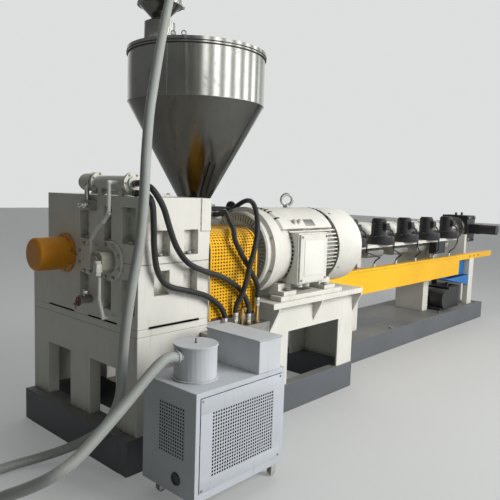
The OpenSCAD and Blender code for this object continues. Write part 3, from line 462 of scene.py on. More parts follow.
# painted shade: the cabinet's pale coat, made darker than the control box's same coat
SHADED_CABINET_COAT = Paint("cabinet_coat_painted_shade", (0.54, 0.575, 0.62), 0.5, wear=0.2, dust=0.12, grime_and_shade=0.4, grain=0.0003,
                grain_scale=260).build()
# a clean, paler cream: the terminal lid's cleaner paint, and painted light on the oil pipes, which lie in
# shade
LIT_CLEAN_CREAM = Paint("clean_cream_painted_light", (0.84, 0.83, 0.77), 0.34, wear=0.1, dust=0.1, grime_and_shade=0.05).build()
FADED_RED = Paint("faded_red", (0.20, 0.05, 0.04), 0.55, wear=0.8, dust=0.3, grime_and_shade=0.3).build()
PALE_TREAD = Moulded("pale_tread", (0.42, 0.43, 0.43), 0.5, 0.3).build()
SIGHT_GLASS = Moulded("sight_glass", (0.02, 0.022, 0.02), 0.12, 0.15, (0.2, 0.2, 0.18), 1.0).build()


def begin() -> None:
    """Leaves edit mode and deselects everything, so that an operator only meets its own piece."""
    if bpy.context.object and bpy.context.object.mode != "OBJECT":
        bpy.ops.object.mode_set(mode="OBJECT")
    bpy.ops.object.select_all(action="DESELECT")


def pick(piece: bpy.types.Object) -> None:
    """Selects one piece and makes it active.

    Args:
        piece: the piece.
    """
    begin()
    piece.select_set(True)
    bpy.context.view_layer.objects.active = piece


def choose(piece: bpy.types.Object, kind: str, test: Callable) -> None:
    """Opens a piece in edit mode with only the parts that pass a test selected.

    Args:
        piece: the piece.
        kind: VERT, EDGE or FACE.
        test: takes a vertex or a face, or an edge's two ends, and tells whether it is selected.
    """
    pick(piece)
    bpy.ops.object.mode_set(mode="EDIT")
    bpy.ops.mesh.select_mode(type=kind)
    bpy.ops.mesh.select_all(action="DESELECT")
    bpy.ops.object.mode_set(mode="OBJECT")
    mesh = piece.data
    if kind == "EDGE":
        for edge in mesh.edges:
            edge.select = test(*(mesh.vertices[i].co for i in edge.vertices))
    else:
        for item in mesh.vertices if kind == "VERT" else mesh.polygons:
            item.select = test(item)
    bpy.ops.object.mode_set(mode="EDIT")


def settle(piece: bpy.types.Object) -> bpy.types.Object:
    """Moves a piece's place, turn and scale into its mesh.

    Args:
        piece: the piece.

    Returns:
        The same piece.
    """
    pick(piece)
    bpy.ops.object.transform_apply(location=True, rotation=True, scale=True)
    return piece


def block(low: Point, high: Point, round_by: float = 0.0015) -> bpy.types.Object:
    """A box between two corners with its edges bevelled.

    Args:
        low: lowest corner.
        high: highest corner.
        round_by: width of the bevel.

    Returns:
        The piece.
    """
    begin()
    low, high = Vector(low), Vector(high)
    bpy.ops.mesh.primitive_cube_add(size=1, location=(low + high) / 2)
    piece = bpy.context.object
    piece.scale = high - low
    settle(piece)
    if round_by:
        bpy.ops.object.mode_set(mode="EDIT")
        bpy.ops.mesh.select_all(action="SELECT")
        bpy.ops.mesh.bevel(offset=round_by, segments=2, affect="EDGES")
        bpy.ops.object.mode_set(mode="OBJECT")
    return piece


def rod(radius: float, start: Point, end: Point, sides: int = 24,
        round_by: float = 0.001) -> bpy.types.Object:
    """A round bar between two points with its end edges bevelled.

    Args:
        radius: the bar's radius.
        start: middle of one end.
        end: middle of the other end.
        sides: number of sides.
        round_by: width of the bevel at its ends.

    Returns:
        The piece.
    """
    begin()
    start, end = Vector(start), Vector(end)
    turn = (end - start).to_track_quat("Z", "Y").to_euler()
    bpy.ops.mesh.primitive_cylinder_add(vertices=sides, radius=radius, depth=(end - start).length,
                                        location=(start + end) / 2, rotation=turn)
    piece = settle(bpy.context.object)
    if round_by:
        bevel_sharp(piece, round_by)
    return piece


def bevel_sharp(piece: bpy.types.Object, width: float, segments: int = 2, sharp: float = 50.0) -> None:
    """Bevels a piece's sharp edges.

    Args:
        piece: the piece.
        width: width of the bevel.
        segments: steps across it.
        sharp: how many degrees an edge turns by before it is bevelled.
    """
    pick(piece)
    bpy.ops.object.mode_set(mode="EDIT")
    bpy.ops.mesh.select_mode(type="EDGE")
    bpy.ops.mesh.select_all(action="DESELECT")
    bpy.ops.mesh.edges_select_sharp(sharpness=math.radians(sharp))
    bpy.ops.mesh.bevel(offset=width, segments=segments, affect="EDGES")
    bpy.ops.object.mode_set(mode="OBJECT")


def ring(major: float, minor: float, centre: Point, axis: Vector, sides: int = 48) -> bpy.types.Object:
    """A round ring of round section.

    Args:
        major: radius of the ring's own circle.
        minor: radius of its section.
        centre: its middle.
        axis: direction that it faces.
        sides: steps round the ring.

    Returns:
        The piece.
    """
    begin()
    turn = axis.to_track_quat("Z", "Y").to_euler()
    bpy.ops.mesh.primitive_torus_add(major_radius=major, minor_radius=minor, major_segments=sides,
                                     minor_segments=10, location=centre, rotation=turn)
    return settle(bpy.context.object)


def join(pieces: list[bpy.types.Object]) -> bpy.types.Object:
    """Joins pieces into one.

    Args:
        pieces: the pieces.

    Returns:
        The first of them, which takes in the others.
    """
    begin()
    for piece in pieces:
        piece.select_set(True)
    bpy.context.view_layer.objects.active = pieces[0]
    bpy.ops.object.join()
    return pieces[0]


def spread(pattern: bpy.types.Object, places: list[Matrix]) -> bpy.types.Object:
    """Copies a pattern to each place with a mesh of its own, joins the copies and drops the pattern.

    Args:
        pattern: a piece modelled about the origin.
        places: one matrix for each copy.

    Returns:
        The joined piece.
    """
    copies = []
    for place in places:
        copy = pattern.copy()
        copy.data = pattern.data.copy()
        copy.data.transform(place)
        bpy.context.scene.collection.objects.link(copy)
        copies.append(copy)
    bpy.data.objects.remove(pattern)
    return join(copies)


def facing(point: Point, axis: Vector, spin: float = 0.0) -> Matrix:
    """A matrix that carries +Z at the origin to a direction at a point."""
    turn = axis.to_track_quat("Z", "Y") @ Quaternion((0, 0, 1), spin)
    return Matrix.Translation(point) @ turn.to_matrix().to_4x4()


def finish_piece(piece: bpy.types.Object, name: str, slot: Slot, replaces: tuple[str, ...] = (),
                 material: bpy.types.Material | None = None) -> bpy.types.Object:
    """Names a new piece, gives it its finish and sets it on the machine.

    Args:
        piece: the piece, in place.
        name: its name.
        slot: the record's slot that it takes its finish from.
        replaces: the CAD nodes that it stands for.
        material: a finish other than the slot's own.

    Returns:
        The piece.
    """
    settle(piece)
    bpy.ops.object.shade_smooth_by_angle(angle=math.radians(35))
    piece.name = name
    piece.data.name = name
    piece.data.materials.clear()
    piece.data.materials.append(material or MATERIALS[slot])
    if replaces:
        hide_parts(*replaces)
    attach(piece, "root")
    log.info("%s: %d faces", name, len(piece.data.polygons))
    return piece


def sight_rays(tree: Tree) -> Socket:
    """A mask that is 1 on the rays that show a picture: the camera's, mirrored and passing ones.

    Args:
        tree: the tree that it is added to.

    Returns:
        The mask.
    """
    kinds = ("Is Camera Ray", "Is Glossy Ray", "Is Transmission Ray")
    camera, glossy, passing = (tree.add("LightPath", output=kind) for kind in kinds)
    return camera + glossy + passing


@dataclass
class Studio:
    """The camera, the floor and the lights.

    Args:
        camera_place: where the camera stands, in metres.
        heading: degrees that it looks round from +X towards +Y.
        dip: degrees that it looks down.
        roll: degrees that its right side is lifted.
        lens: focal length in millimetres on a 36 mm sensor.
        floor_width: width of the square floor.
        floor_middle: middle of the floor.
        floor_glow: share of its own pale glow that the floor shows where it is seen.
        backdrop: strength of the plain backdrop that the camera sees.
        strips: how closely the mirrored window wall is striped, per radian.
    """

    camera_place: Point = (-1.731, -3.044, 1.500)
    heading: float = 42.49
    dip: float = 5.99
    roll: float = 1.90
    lens: float = 41.3
    floor_width: float = 60.0
    floor_middle: Point = (2.5, 0, 0)
    floor_glow: float = 0.28
    backdrop: float = 0.74
    strips: float = 19.0

    FLOOR_LAID = ((0.37, 0.38, 0.38), (0.35, 0.36, 0.36))
    FLOOR_SEEN = ((0.66, 0.67, 0.67), (0.63, 0.64, 0.64))
    SHADED_AIR = (0.83, 0.89, 0.73)
    LIT_AIR = (0.96, 0.98, 1.0)
    PALE_WALL = (0.98, 1.0, 1.0)
    WINDOW_WAY = (0.42, -0.90, 0.10)
    FAR_WAY = (0.733, 0.672, 0)

    def camera(self) -> None:
        """Sets the camera at the photograph's place and angle."""
        turn, down = math.radians(self.heading), math.radians(self.dip)
        ahead = Vector((math.cos(turn) * math.cos(down), math.sin(turn) * math.cos(down), -math.sin(down)))
        data = bpy.data.cameras.new("photo_camera")
        data.lens = self.lens
        data.clip_end = 100
        camera = bpy.data.objects.new("photo_camera", data)
        camera.rotation_mode = "QUATERNION"
        roll = Quaternion((0, 0, 1), math.radians(self.roll))
        camera.rotation_quaternion = ahead.to_track_quat("-Z", "Y") @ roll
        camera.location = self.camera_place
        bpy.context.scene.collection.objects.link(camera)
        bpy.context.scene.camera = camera

    def lamp(self, name: str, place: Point, target: Point, size: tuple[float, float], power: float,
             colour: Colour) -> None:
        """Adds a soft rectangular lamp that doesn't show in polished metal.

        Args:
            name: the lamp's name.
            place: where it hangs.
            target: the point that it faces.
            size: its width and height.
            power: its power in watts.
            colour: its colour.
        """
        data = bpy.data.lights.new(name, "AREA")
        data.shape = "RECTANGLE"
        data.size, data.size_y = size
        data.energy = power
        data.color = colour
        lamp = bpy.data.objects.new(name, data)
        lamp.visible_glossy = False
        lamp.location = place
        lamp.rotation_euler = (Vector(target) - Vector(place)).to_track_quat("-Z", "Y").to_euler()
        bpy.context.scene.collection.objects.link(lamp)

    def floor(self) -> None:
        """Lays a plain floor that is seen pale, and throws less light back than it seems to."""
        begin()
        bpy.ops.mesh.primitive_plane_add(size=self.floor_width, location=self.floor_middle)
        floor = bpy.context.object
        floor.name = "studio_floor"
        tree = Tree(bpy.data.materials.new("studio_floor"))
        patchy = tree.noise(scale=0.4, detail=4)
        laid = tree.blend(*self.FLOOR_LAID, patchy)
        seen = tree.blend(*self.FLOOR_SEEN, patchy)
        shader = tree.add("BsdfPrincipled", None, {"Base Color": tree.blend(laid, seen, sight_rays(tree)),
                                                   "Roughness": 0.55 + 0.1 * tree.noise(scale=3)})
        glow = tree.add("Emission", None, {"Color": self.FLOOR_SEEN[0], "Strength": 0.8})
        lifted = tree.add("MixShader", None, {0: sight_rays(tree) * self.floor_glow, 1: shader, 2: glow})
        tree.add("OutputMaterial", None, {"Surface": lifted})
        floor.data.materials.append(tree.owner)

    def sky(self) -> None:
        """Lights the room softly from the near right and from ahead, and shows a plain pale backdrop.

        Polished steel mirrors a room of its own, with a pale far wall and a window wall in bright strips.
        """
        tree = Tree(bpy.data.worlds.new("studio"))
        bpy.context.scene.world = tree.owner
        way = tree.add("TexCoord", output="Generated")
        window, beyond = way.dot(self.WINDOW_WAY), way.dot(self.FAR_WAY)
        lit, ahead = window.step(0.0, 0.95), beyond.step(0.2, 0.75)
        shade = tree.blend(self.SHADED_AIR, self.LIT_AIR, lit + ahead)
        soft = tree.add("Background", None, {"Color": shade, "Strength": 0.06 + 0.40 * lit + 0.34 * ahead})
        turn = tree.add("Math", {"operation": "ARCTAN2"}, {0: way.dot((0, 1, 0)), 1: way.dot((1, 0, 0))})
        strips = tree.add("Math", {"operation": "SINE"}, {0: turn * self.strips + 3.17}).step(-0.5, 0.7)
        room = beyond.step(0.55, 0.97) * 0.66 + 0.12 + window.step(0.30, 0.8) * (0.15 + 2.6 * strips)
        camera = tree.add("LightPath", output="Is Camera Ray")
        strength = camera * self.backdrop + (1.0 - camera) * room
        seen = tree.add("Background", None, {"Color": self.PALE_WALL, "Strength": strength})
        mixed = tree.add("MixShader", None, {0: sight_rays(tree), 1: soft, 2: seen})
        tree.add("OutputWorld", None, {"Surface": mixed})

    def build(self) -> None:
        """Sets up the whole studio."""
        self.camera()
        self.floor()
        self.sky()
        self.lamp("key", place=(3.4, -7.0, 4.0), target=(1.6, -0.4, 1.1), size=(4.0, 3.5), power=560,
                  colour=(1, 0.99, 0.97))
        self.lamp("top", place=(1.8, 0.4, 6.0), target=(1.8, 0, 0), size=(6.0, 4.0), power=90,
                  colour=(0.95, 0.98, 1))
        bpy.context.scene.view_settings.view_transform = "Standard"


def smooth_route(points: list[Point], steps: int) -> list[Vector]:
    """A smooth curve through all the points.

    Args:
        points: the route's own points.
        steps: stretches between two of them.

    Returns:
        The curve's points.
    """
    p = [Vector(q) for q in points]
    curve = []
    for i in range(len(p) - 1):
        a, b, c, d = p[max(i - 1, 0)], p[i], p[i + 1], p[min(i + 2, len(p) - 1)]
        for s in range(steps):
            t = s / steps
            curve.append(0.5 * (2 * b + (c - a) * t + (2 * a - 5 * b + 4 * c - d) * t * t
                                + (3 * b - a - 3 * c + d) * t ** 3))
    return curve + [p[-1]]


def even_route(points: list[Vector], spacing: float) -> list[Vector]:
    """Sets points at an even spacing along a line.

    Args:
        points: the line's own points.
        spacing: the distance wanted between two new ones.

    Returns:
        The new points, from end to end.
    """
    lengths = [0.0]
    for a, b in zip(points, points[1:]):
        lengths.append(lengths[-1] + (b - a).length)
    count = max(2, round(lengths[-1] / spacing))
    found, i = [], 0
    for k in range(count + 1):
        goal = lengths[-1] * k / count
        while i < len(lengths) - 2 and lengths[i + 1] < goal:
            i += 1
        share = (goal - lengths[i]) / max(lengths[i + 1] - lengths[i], 1e-9)
        found.append(points[i].lerp(points[i + 1], share))
    return found


@dataclass
class Hose:
    """A hose along a given route, the same as its solid's in the CAD.

    Args:
        node: the CAD node that it stands for.
        route: its points in millimetres.
        radius: its outer radius in metres.
        slot: the slot that it takes its finish from.
        rib: distance between its ribs, or 0 where it is smooth.
        lay: how it lies; not used.
        stiffness: how stiff it is; not used.
    """

    node: str
    route: list[Point]
    radius: float
    slot: Slot
    rib: float = 0.0
    lay: str = "hanging"
    stiffness: str = "stiff"

    BETWEEN_RIBS = 0.935
    CURVE_STEPS = 6

    def build(self) -> bpy.types.Object:
        """Returns:
            The piece.
        """
        line = smooth_route([[c * MM for c in p] for p in self.route], self.CURVE_STEPS)
        line = even_route(line, self.rib / 2 if self.rib else self.radius * 0.9)
        data = bpy.data.curves.new(self.node + "_line", "CURVE")
        data.dimensions = "3D"
        data.bevel_depth = self.radius
        data.bevel_resolution = 4
        data.use_fill_caps = True
        spline = data.splines.new("POLY")
        spline.points.add(len(line) - 1)
        for i, (point, place) in enumerate(zip(spline.points, line)):
            point.co = (*place, 1)
            point.radius = self.BETWEEN_RIBS if self.rib and i % 2 else 1.0
        piece = bpy.data.objects.new(self.node + "_look", data)
        bpy.context.scene.collection.objects.link(piece)
        pick(piece)
        bpy.ops.object.convert(target="MESH")
        piece = finish_piece(bpy.context.object, self.node + "_look", self.slot, (self.node,))
        length = sum((b - a).length for a, b in zip(line, line[1:]))
        tuple(line[0])
        2 * self.radius
        [tuple(p) for p in line]
        return piece


@dataclass
class Hoses:
    """The vacuum hose and the four water hoses, with their routes in millimetres.

    Args:
        vacuum: from the filter drum's inlet over the floor and up to the receiver.
        cooler_supply: from the oil cooler's upper port to the water manifold.
        cooler_return: from the oil cooler's lower port to the water manifold.
        throat_supply: from the feed throat's first port to the water manifold.
        throat_return: from the feed throat's second port to the water manifold.
        water_radius: outer radius of the water hoses in metres.
        vacuum_radius: outer radius of the vacuum hose in metres.
        vacuum_rib: distance between the vacuum hose's ribs in metres.
    """

    vacuum: list[Point] = field(default_factory=lambda: [
        (-44, -1060, 721), (-112, -1060, 721), (-195, -1060, 670), (-350, -1060, 547),
        (-540, -1060, 410), (-635, -1040, 355), (-705, -960, 295), (-775, -850, 232), (-835, -740, 150),
        (-870, -630, 78), (-872, -520, 38), (-835, -400, 27), (-770, -310, 26), (-660, -245, 26),
        (-550, -222, 26), (-422, -228, 29), (-310, -270, 44), (-205, -345, 82), (-130, -440, 145),
        (-105, -560, 240), (-96, -650, 361), (-98, -702, 480), (-115, -737, 620), (-124, -770, 790),
        (-112, -797, 1000), (-72, -803, 1210), (-48, -802, 1430), (-18, -775, 1640), (56, -700, 1860),
        (160, -610, 2080), (295, -490, 2320), (440, -375, 2580), (545, -318, 2715), (620, -275, 2788),
        (662, -242, 2818), (662, -198, 2818)])
    cooler_supply: list[Point] = field(default_factory=lambda: [
        (28, -623, 1513), (28, -680, 1513), (40, -752, 1488), (90, -776, 1404),
        (140, -768, 1300), (200, -758, 1190), (290, -750, 1100), (420, -744, 1043), (560, -740, 998),
        (690, -738, 925), (765, -736, 850), (793, -736, 780), (793, -736, 722)])
    cooler_return: list[Point] = field(default_factory=lambda: [
        (28, -623, 1463), (28, -690, 1463), (36, -737, 1444), (48, -748, 1400),
        (58, -746, 1300), (66, -742, 1190), (92, -740, 1070), (160, -740, 990), (300, -738, 946),
        (440, -736, 902), (550, -736, 830), (590, -736, 765), (590, -736, 722)])
    throat_supply: list[Point] = field(default_factory=lambda: [
        (990, -190, 1326), (990, -245, 1326), (935, -360, 1352), (860, -470, 1330),
        (770, -580, 1300), (690, -690, 1262), (650, -742, 1210), (700, -746, 1130), (790, -744, 1020),
        (862, -738, 920), (869, -736, 860), (869, -736, 812)])
    throat_return: list[Point] = field(default_factory=lambda: [
        (1080, -190, 1326), (1080, -245, 1326), (1078, -340, 1390), (1060, -430, 1425),
        (1010, -530, 1425), (930, -640, 1385), (850, -735, 1290), (790, -778, 1180), (740, -784, 1050),
        (700, -780, 920), (682, -745, 830), (680, -736, 785), (680, -736, 742)])
    water_radius: float = 0.016
    vacuum_radius: float = 0.026
    vacuum_rib: float = 0.011

    def water(self) -> dict[str, list[Point]]:
        """The water hoses' routes by their nodes."""
        names = ("cooler_supply", "cooler_return", "throat_supply", "throat_return")
        return {name + "_hose": getattr(self, name) for name in names}

    def build(self) -> None:
        """Makes every hose."""
        Hose("vacuum_hose", self.vacuum, self.vacuum_radius, Slot.CLEAR, self.vacuum_rib, lay="loose",
             stiffness="medium").build()
        for node, route in self.water().items():
            Hose(node, route, self.water_radius, Slot.RUBBER).build()


@dataclass
class Bolt:
    """A hexagon bolt head on its washer, modelled once and set in rows.

    Args:
        size: thread diameter.
    """

    size: float

    WASHER_RADIUS = 1.05
    WASHER_THICK = 0.18
    HEAD_RADIUS = 0.92
    HEAD_TALL = 0.64

    def pattern(self) -> bpy.types.Object:
        """Models one head at the origin, standing on z = 0.

        Returns:
            The piece.
        """
        thick = self.size * self.WASHER_THICK
        top = thick + self.size * self.HEAD_TALL
        washer = rod(self.size * self.WASHER_RADIUS, (0, 0, 0), (0, 0, thick), 20, self.size * 0.04)
        head = rod(self.size * self.HEAD_RADIUS, (0, 0, thick), (0, 0, top), HEX, self.size * 0.09)
        return join([head, washer])

    def row(self, name: str, places: list[Matrix]) -> bpy.types.Object:
        """Sets a steel head at each place."""
        return finish_piece(spread(self.pattern(), places), name, Slot.STEEL)


def pan_screw(radius: float) -> bpy.types.Object:
    """Models a round-headed screw with a raised cross, at the origin and standing on z = 0.

    Args:
        radius: the head's radius.

    Returns:
        The piece.
    """
    head = rod(radius, (0, 0, 0), (0, 0, radius * 0.55), 20, radius * 0.25)
    long, thin, low, high = radius * 0.6, radius * 0.1, radius * 0.5, radius * 0.58
    cross = [block((-x, -y, low), (x, y, high), 0) for x, y in ((long, thin), (thin, long))]
    return join([head, *cross])


def circle_of(centre: Point, axis: Vector, radius: float, count: int, start: float = 0.0) -> list[Matrix]:
    """Places round a circle, all facing along its axis.

    Args:
        centre: the circle's middle.
        axis: direction that the circle faces.
        radius: the circle's radius.
        count: number of places.
        start: angle of the first one in radians.

    Returns:
        One matrix for each place.
    """
    middle, out = facing(centre, axis), Matrix.Translation((radius, 0, 0))
    return [middle @ Matrix.Rotation(start + math.tau * i / count, 4, "Z") @ out for i in range(count)]


def thicken(piece: bpy.types.Object, sheet: float) -> None:
    """Gives a bare sheet its thickness.

    Args:
        piece: the piece.
        sheet: thickness of the sheet.
    """
    pick(piece)
    solid = piece.modifiers.new("sheet", "SOLIDIFY")
    solid.thickness = sheet
    bpy.ops.object.modifier_apply(modifier=solid.name)


@dataclass
class Perforated:
    """Sheet metal with rows of real holes, made cell by cell.

    Args:
        pitch: distance between two holes.
        hole: the holes' diameter.
        sheet: thickness of the sheet.
    """

    pitch: float
    hole: float
    sheet: float

    def punch(self) -> None:
        """Cuts an eight-sided hole in each face of the piece in edit mode, and stays in edit mode."""
        side = self.hole * 0.97
        corner = self.hole * 0.28
        bpy.ops.mesh.select_mode(type="FACE")
        bpy.ops.mesh.select_all(action="SELECT")
        bpy.ops.mesh.inset(thickness=(self.pitch - side) / 2, depth=0, use_individual=True)
        bpy.ops.mesh.select_mode(type="VERT")
        bpy.ops.mesh.bevel(offset=corner, segments=1, affect="VERTICES")
        bpy.ops.mesh.select_mode(type="FACE")
        bpy.ops.mesh.select_all(action="DESELECT")
        bpy.ops.mesh.select_face_by_sides(number=8, type="EQUAL", extend=False)
        bpy.ops.mesh.delete(type="FACE")

    def panel(self, corner: Point, across: Vector, up: Vector, columns: int, rows: int) -> bpy.types.Object:
        """A flat field of holes.

        Args:
            corner: its lower corner.
            across: direction of its rows.
            up: direction of its columns.
            columns: holes in a row.
            rows: number of rows.

        Returns:
            The piece.
        """
        begin()
        width, height = columns * self.pitch, rows * self.pitch
        bpy.ops.mesh.primitive_grid_add(x_subdivisions=columns, y_subdivisions=rows, size=1)
        piece = bpy.context.object
        turn = Matrix((across, up, across.cross(up))).transposed().to_4x4()
        centre = Vector(corner) + across * width / 2 + up * height / 2
        piece.matrix_world = Matrix.Translation(centre) @ turn @ Matrix.Diagonal((width, height, 1, 1))
        settle(piece)
        bpy.ops.object.mode_set(mode="EDIT")
        self.punch()
        bpy.ops.object.mode_set(mode="OBJECT")
        thicken(piece, self.sheet)
        return piece


@dataclass
class CouplingGuard:
    """The arched guard over the coupling: a perforated sheet in a plain edge frame.

    Args:
        corner: radius of its two upper edges.
        edge: width of the plain strip at each end.
        lap: how far that strip laps over the sheet.
        strip_sheet: thickness of the strip.
        columns: holes along the guard, set wider apart than its rows.
        sheet: the perforated sheet.
        sheet_inset: how far the sheet lies inside the guard's outline.
        shade_sheet_inset: how far the dark sheet that paints the shade under the guard lies inside it.
    """

    corner: float = 0.120
    edge: float = 0.010
    lap: float = 0.004
    strip_sheet: float = 0.005
    columns: int = 16
    sheet: Perforated = field(default_factory=lambda: Perforated(0.0185, 0.0090, 0.002))
    sheet_inset: float = 0.001
    shade_sheet_inset: float = 0.009

    LONG_EDGE = 0.05

    def arch(self, x: float, inset: float, cells: bool = False) -> bpy.types.Object:
        """The guard's outline as a line of edges in the plane at x, left open in edit mode.

        Args:
            x: where the plane is.
            inset: how far the outline is drawn in.
            cells: whether its straight runs are divided into cells.

        Returns:
            The piece, with no faces.
        """
        low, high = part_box("coupling_guard")
        width, height = high.y - low.y - 2 * inset, high.z - low.z - inset
        begin()
        bpy.ops.mesh.primitive_plane_add(size=1)
        piece = bpy.context.object
        upright = Matrix(((0, 0, 1), (1, 0, 0), (0, 1, 0))).to_4x4()
        middle = Vector((x, (low.y + high.y) / 2, low.z + height / 2))
        piece.matrix_world = Matrix.Translation(middle) @ upright @ Matrix.Diagonal((width, height, 1, 1))
        settle(piece)
        choose(piece, "VERT", lambda vertex: vertex.co.z > middle.z)
        bpy.ops.mesh.bevel(offset=self.corner - inset, segments=10, affect="VERTICES")
        bpy.ops.mesh.select_all(action="SELECT")
        bpy.ops.mesh.delete(type="ONLY_FACE")
        choose(piece, "EDGE", lambda a, b: max(a.z, b.z) < low.z + 1e-4)
        bpy.ops.mesh.delete(type="EDGE_FACE")
        if cells:
            runs = ((height - self.corner, lambda a, b: abs(a.z - b.z) > self.LONG_EDGE),
                    (width - 2 * self.corner, lambda a, b: abs(a.y - b.y) > self.LONG_EDGE))
            for length, test in runs:
                choose(piece, "EDGE", test)
                bpy.ops.mesh.subdivide(number_cuts=round(length / self.sheet.pitch) - 1)
        return piece

    def draw_out(self, width: float) -> None:
        """Draws the outline in edit mode out along x."""
        bpy.ops.mesh.select_all(action="SELECT")
        bpy.ops.mesh.extrude_region_move(TRANSFORM_OT_translate={"value": (width, 0, 0)})

    def band(self, x: float, width: float, inset: float, sheet: float) -> bpy.types.Object:
        """A plain band of the arch.

        Args:
            x: where it starts.
            width: its width along x.
            inset: how far it lies inside the guard's outline.
            sheet: its thickness.

        Returns:
            The piece.
        """
        piece = self.arch(x, inset)
        self.draw_out(width)
        bpy.ops.object.mode_set(mode="OBJECT")
        thicken(piece, sheet)
        return piece

    def perforate(self) -> None:
        """Punches one ring of cells and repeats it along the guard."""
        low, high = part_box("coupling_guard")
        pitch = (high.x - low.x - 2 * self.edge) / self.columns
        piece = self.arch(low.x + self.edge, self.sheet_inset, cells=True)
        self.draw_out(pitch)
        bpy.ops.mesh.select_all(action="SELECT")
        bpy.ops.mesh.normals_make_consistent(inside=False)
        self.sheet.punch()
        bpy.ops.object.mode_set(mode="OBJECT")
        pick(piece)
        rings = piece.modifiers.new("columns", "ARRAY")
        rings.use_relative_offset = False
        rings.use_constant_offset = True
        rings.constant_offset_displace = (pitch, 0, 0)
        rings.count = self.columns
        rings.use_merge_vertices = True
        rings.merge_threshold = 1e-5
        bpy.ops.object.modifier_apply(modifier=rings.name)
        thicken(piece, self.sheet.sheet)
        finish_piece(piece, "coupling_guard_sheet", Slot.YELLOW, ("coupling_guard",), AMBER)

    def build(self) -> None:
        """Makes the sheet, the strips at its ends, a dark sheet that paints the shade inside the guard, and
        the rusted foot.
        """
        self.perforate()
        low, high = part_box("coupling_guard")
        wide = self.edge + self.lap
        strips = [self.band(x, wide, 0.0, self.strip_sheet) for x in (low.x, high.x - wide)]
        for strip in strips:
            bevel_sharp(strip, 0.0008)
        finish_piece(join(strips), "coupling_guard_frame", Slot.YELLOW, material=AMBER)
        # painted shade: a near-black sheet inside the arch, seen through the holes
        shade_sheet = self.band(low.x + self.edge, high.x - low.x - 2 * self.edge, self.shade_sheet_inset, 0.001)
        finish_piece(shade_sheet, "coupling_guard_shade_sheet", Slot.YELLOW, material=SHADE_AND_JOINT_BLACK)
        foot = block((low.x + 0.002, low.y - 0.003, low.z - 0.004),
                     (high.x - 0.002, low.y + 0.004, low.z + 0.011))
        finish_piece(foot, "coupling_guard_foot", Slot.DARK, material=RUSTY)


def upright_rim(outer: Rectangle, inner: Rectangle, near: float, far: float,
                round_by: float = 0) -> bpy.types.Object:
    """Fills the space between two upright rectangles with four bars.

    Args:
        outer: lowest x, lowest z, highest x and highest z of the outer rectangle.
        inner: the same of the inner one.
        near: the bars' lowest y.
        far: their highest y.
        round_by: width of the bevel on the upper and lower bars.

    Returns:
        The joined piece.
    """
    x0, z0, x1, z1 = outer
    left, bottom, right, top = inner
    level = [block((x0, near, low), (x1, far, high), round_by) for low, high in ((z0, bottom), (top, z1))]
    upright = [block((low, near, bottom), (high, far, top), 0) for low, high in ((x0, left), (right, x1))]
    return join(level + upright)


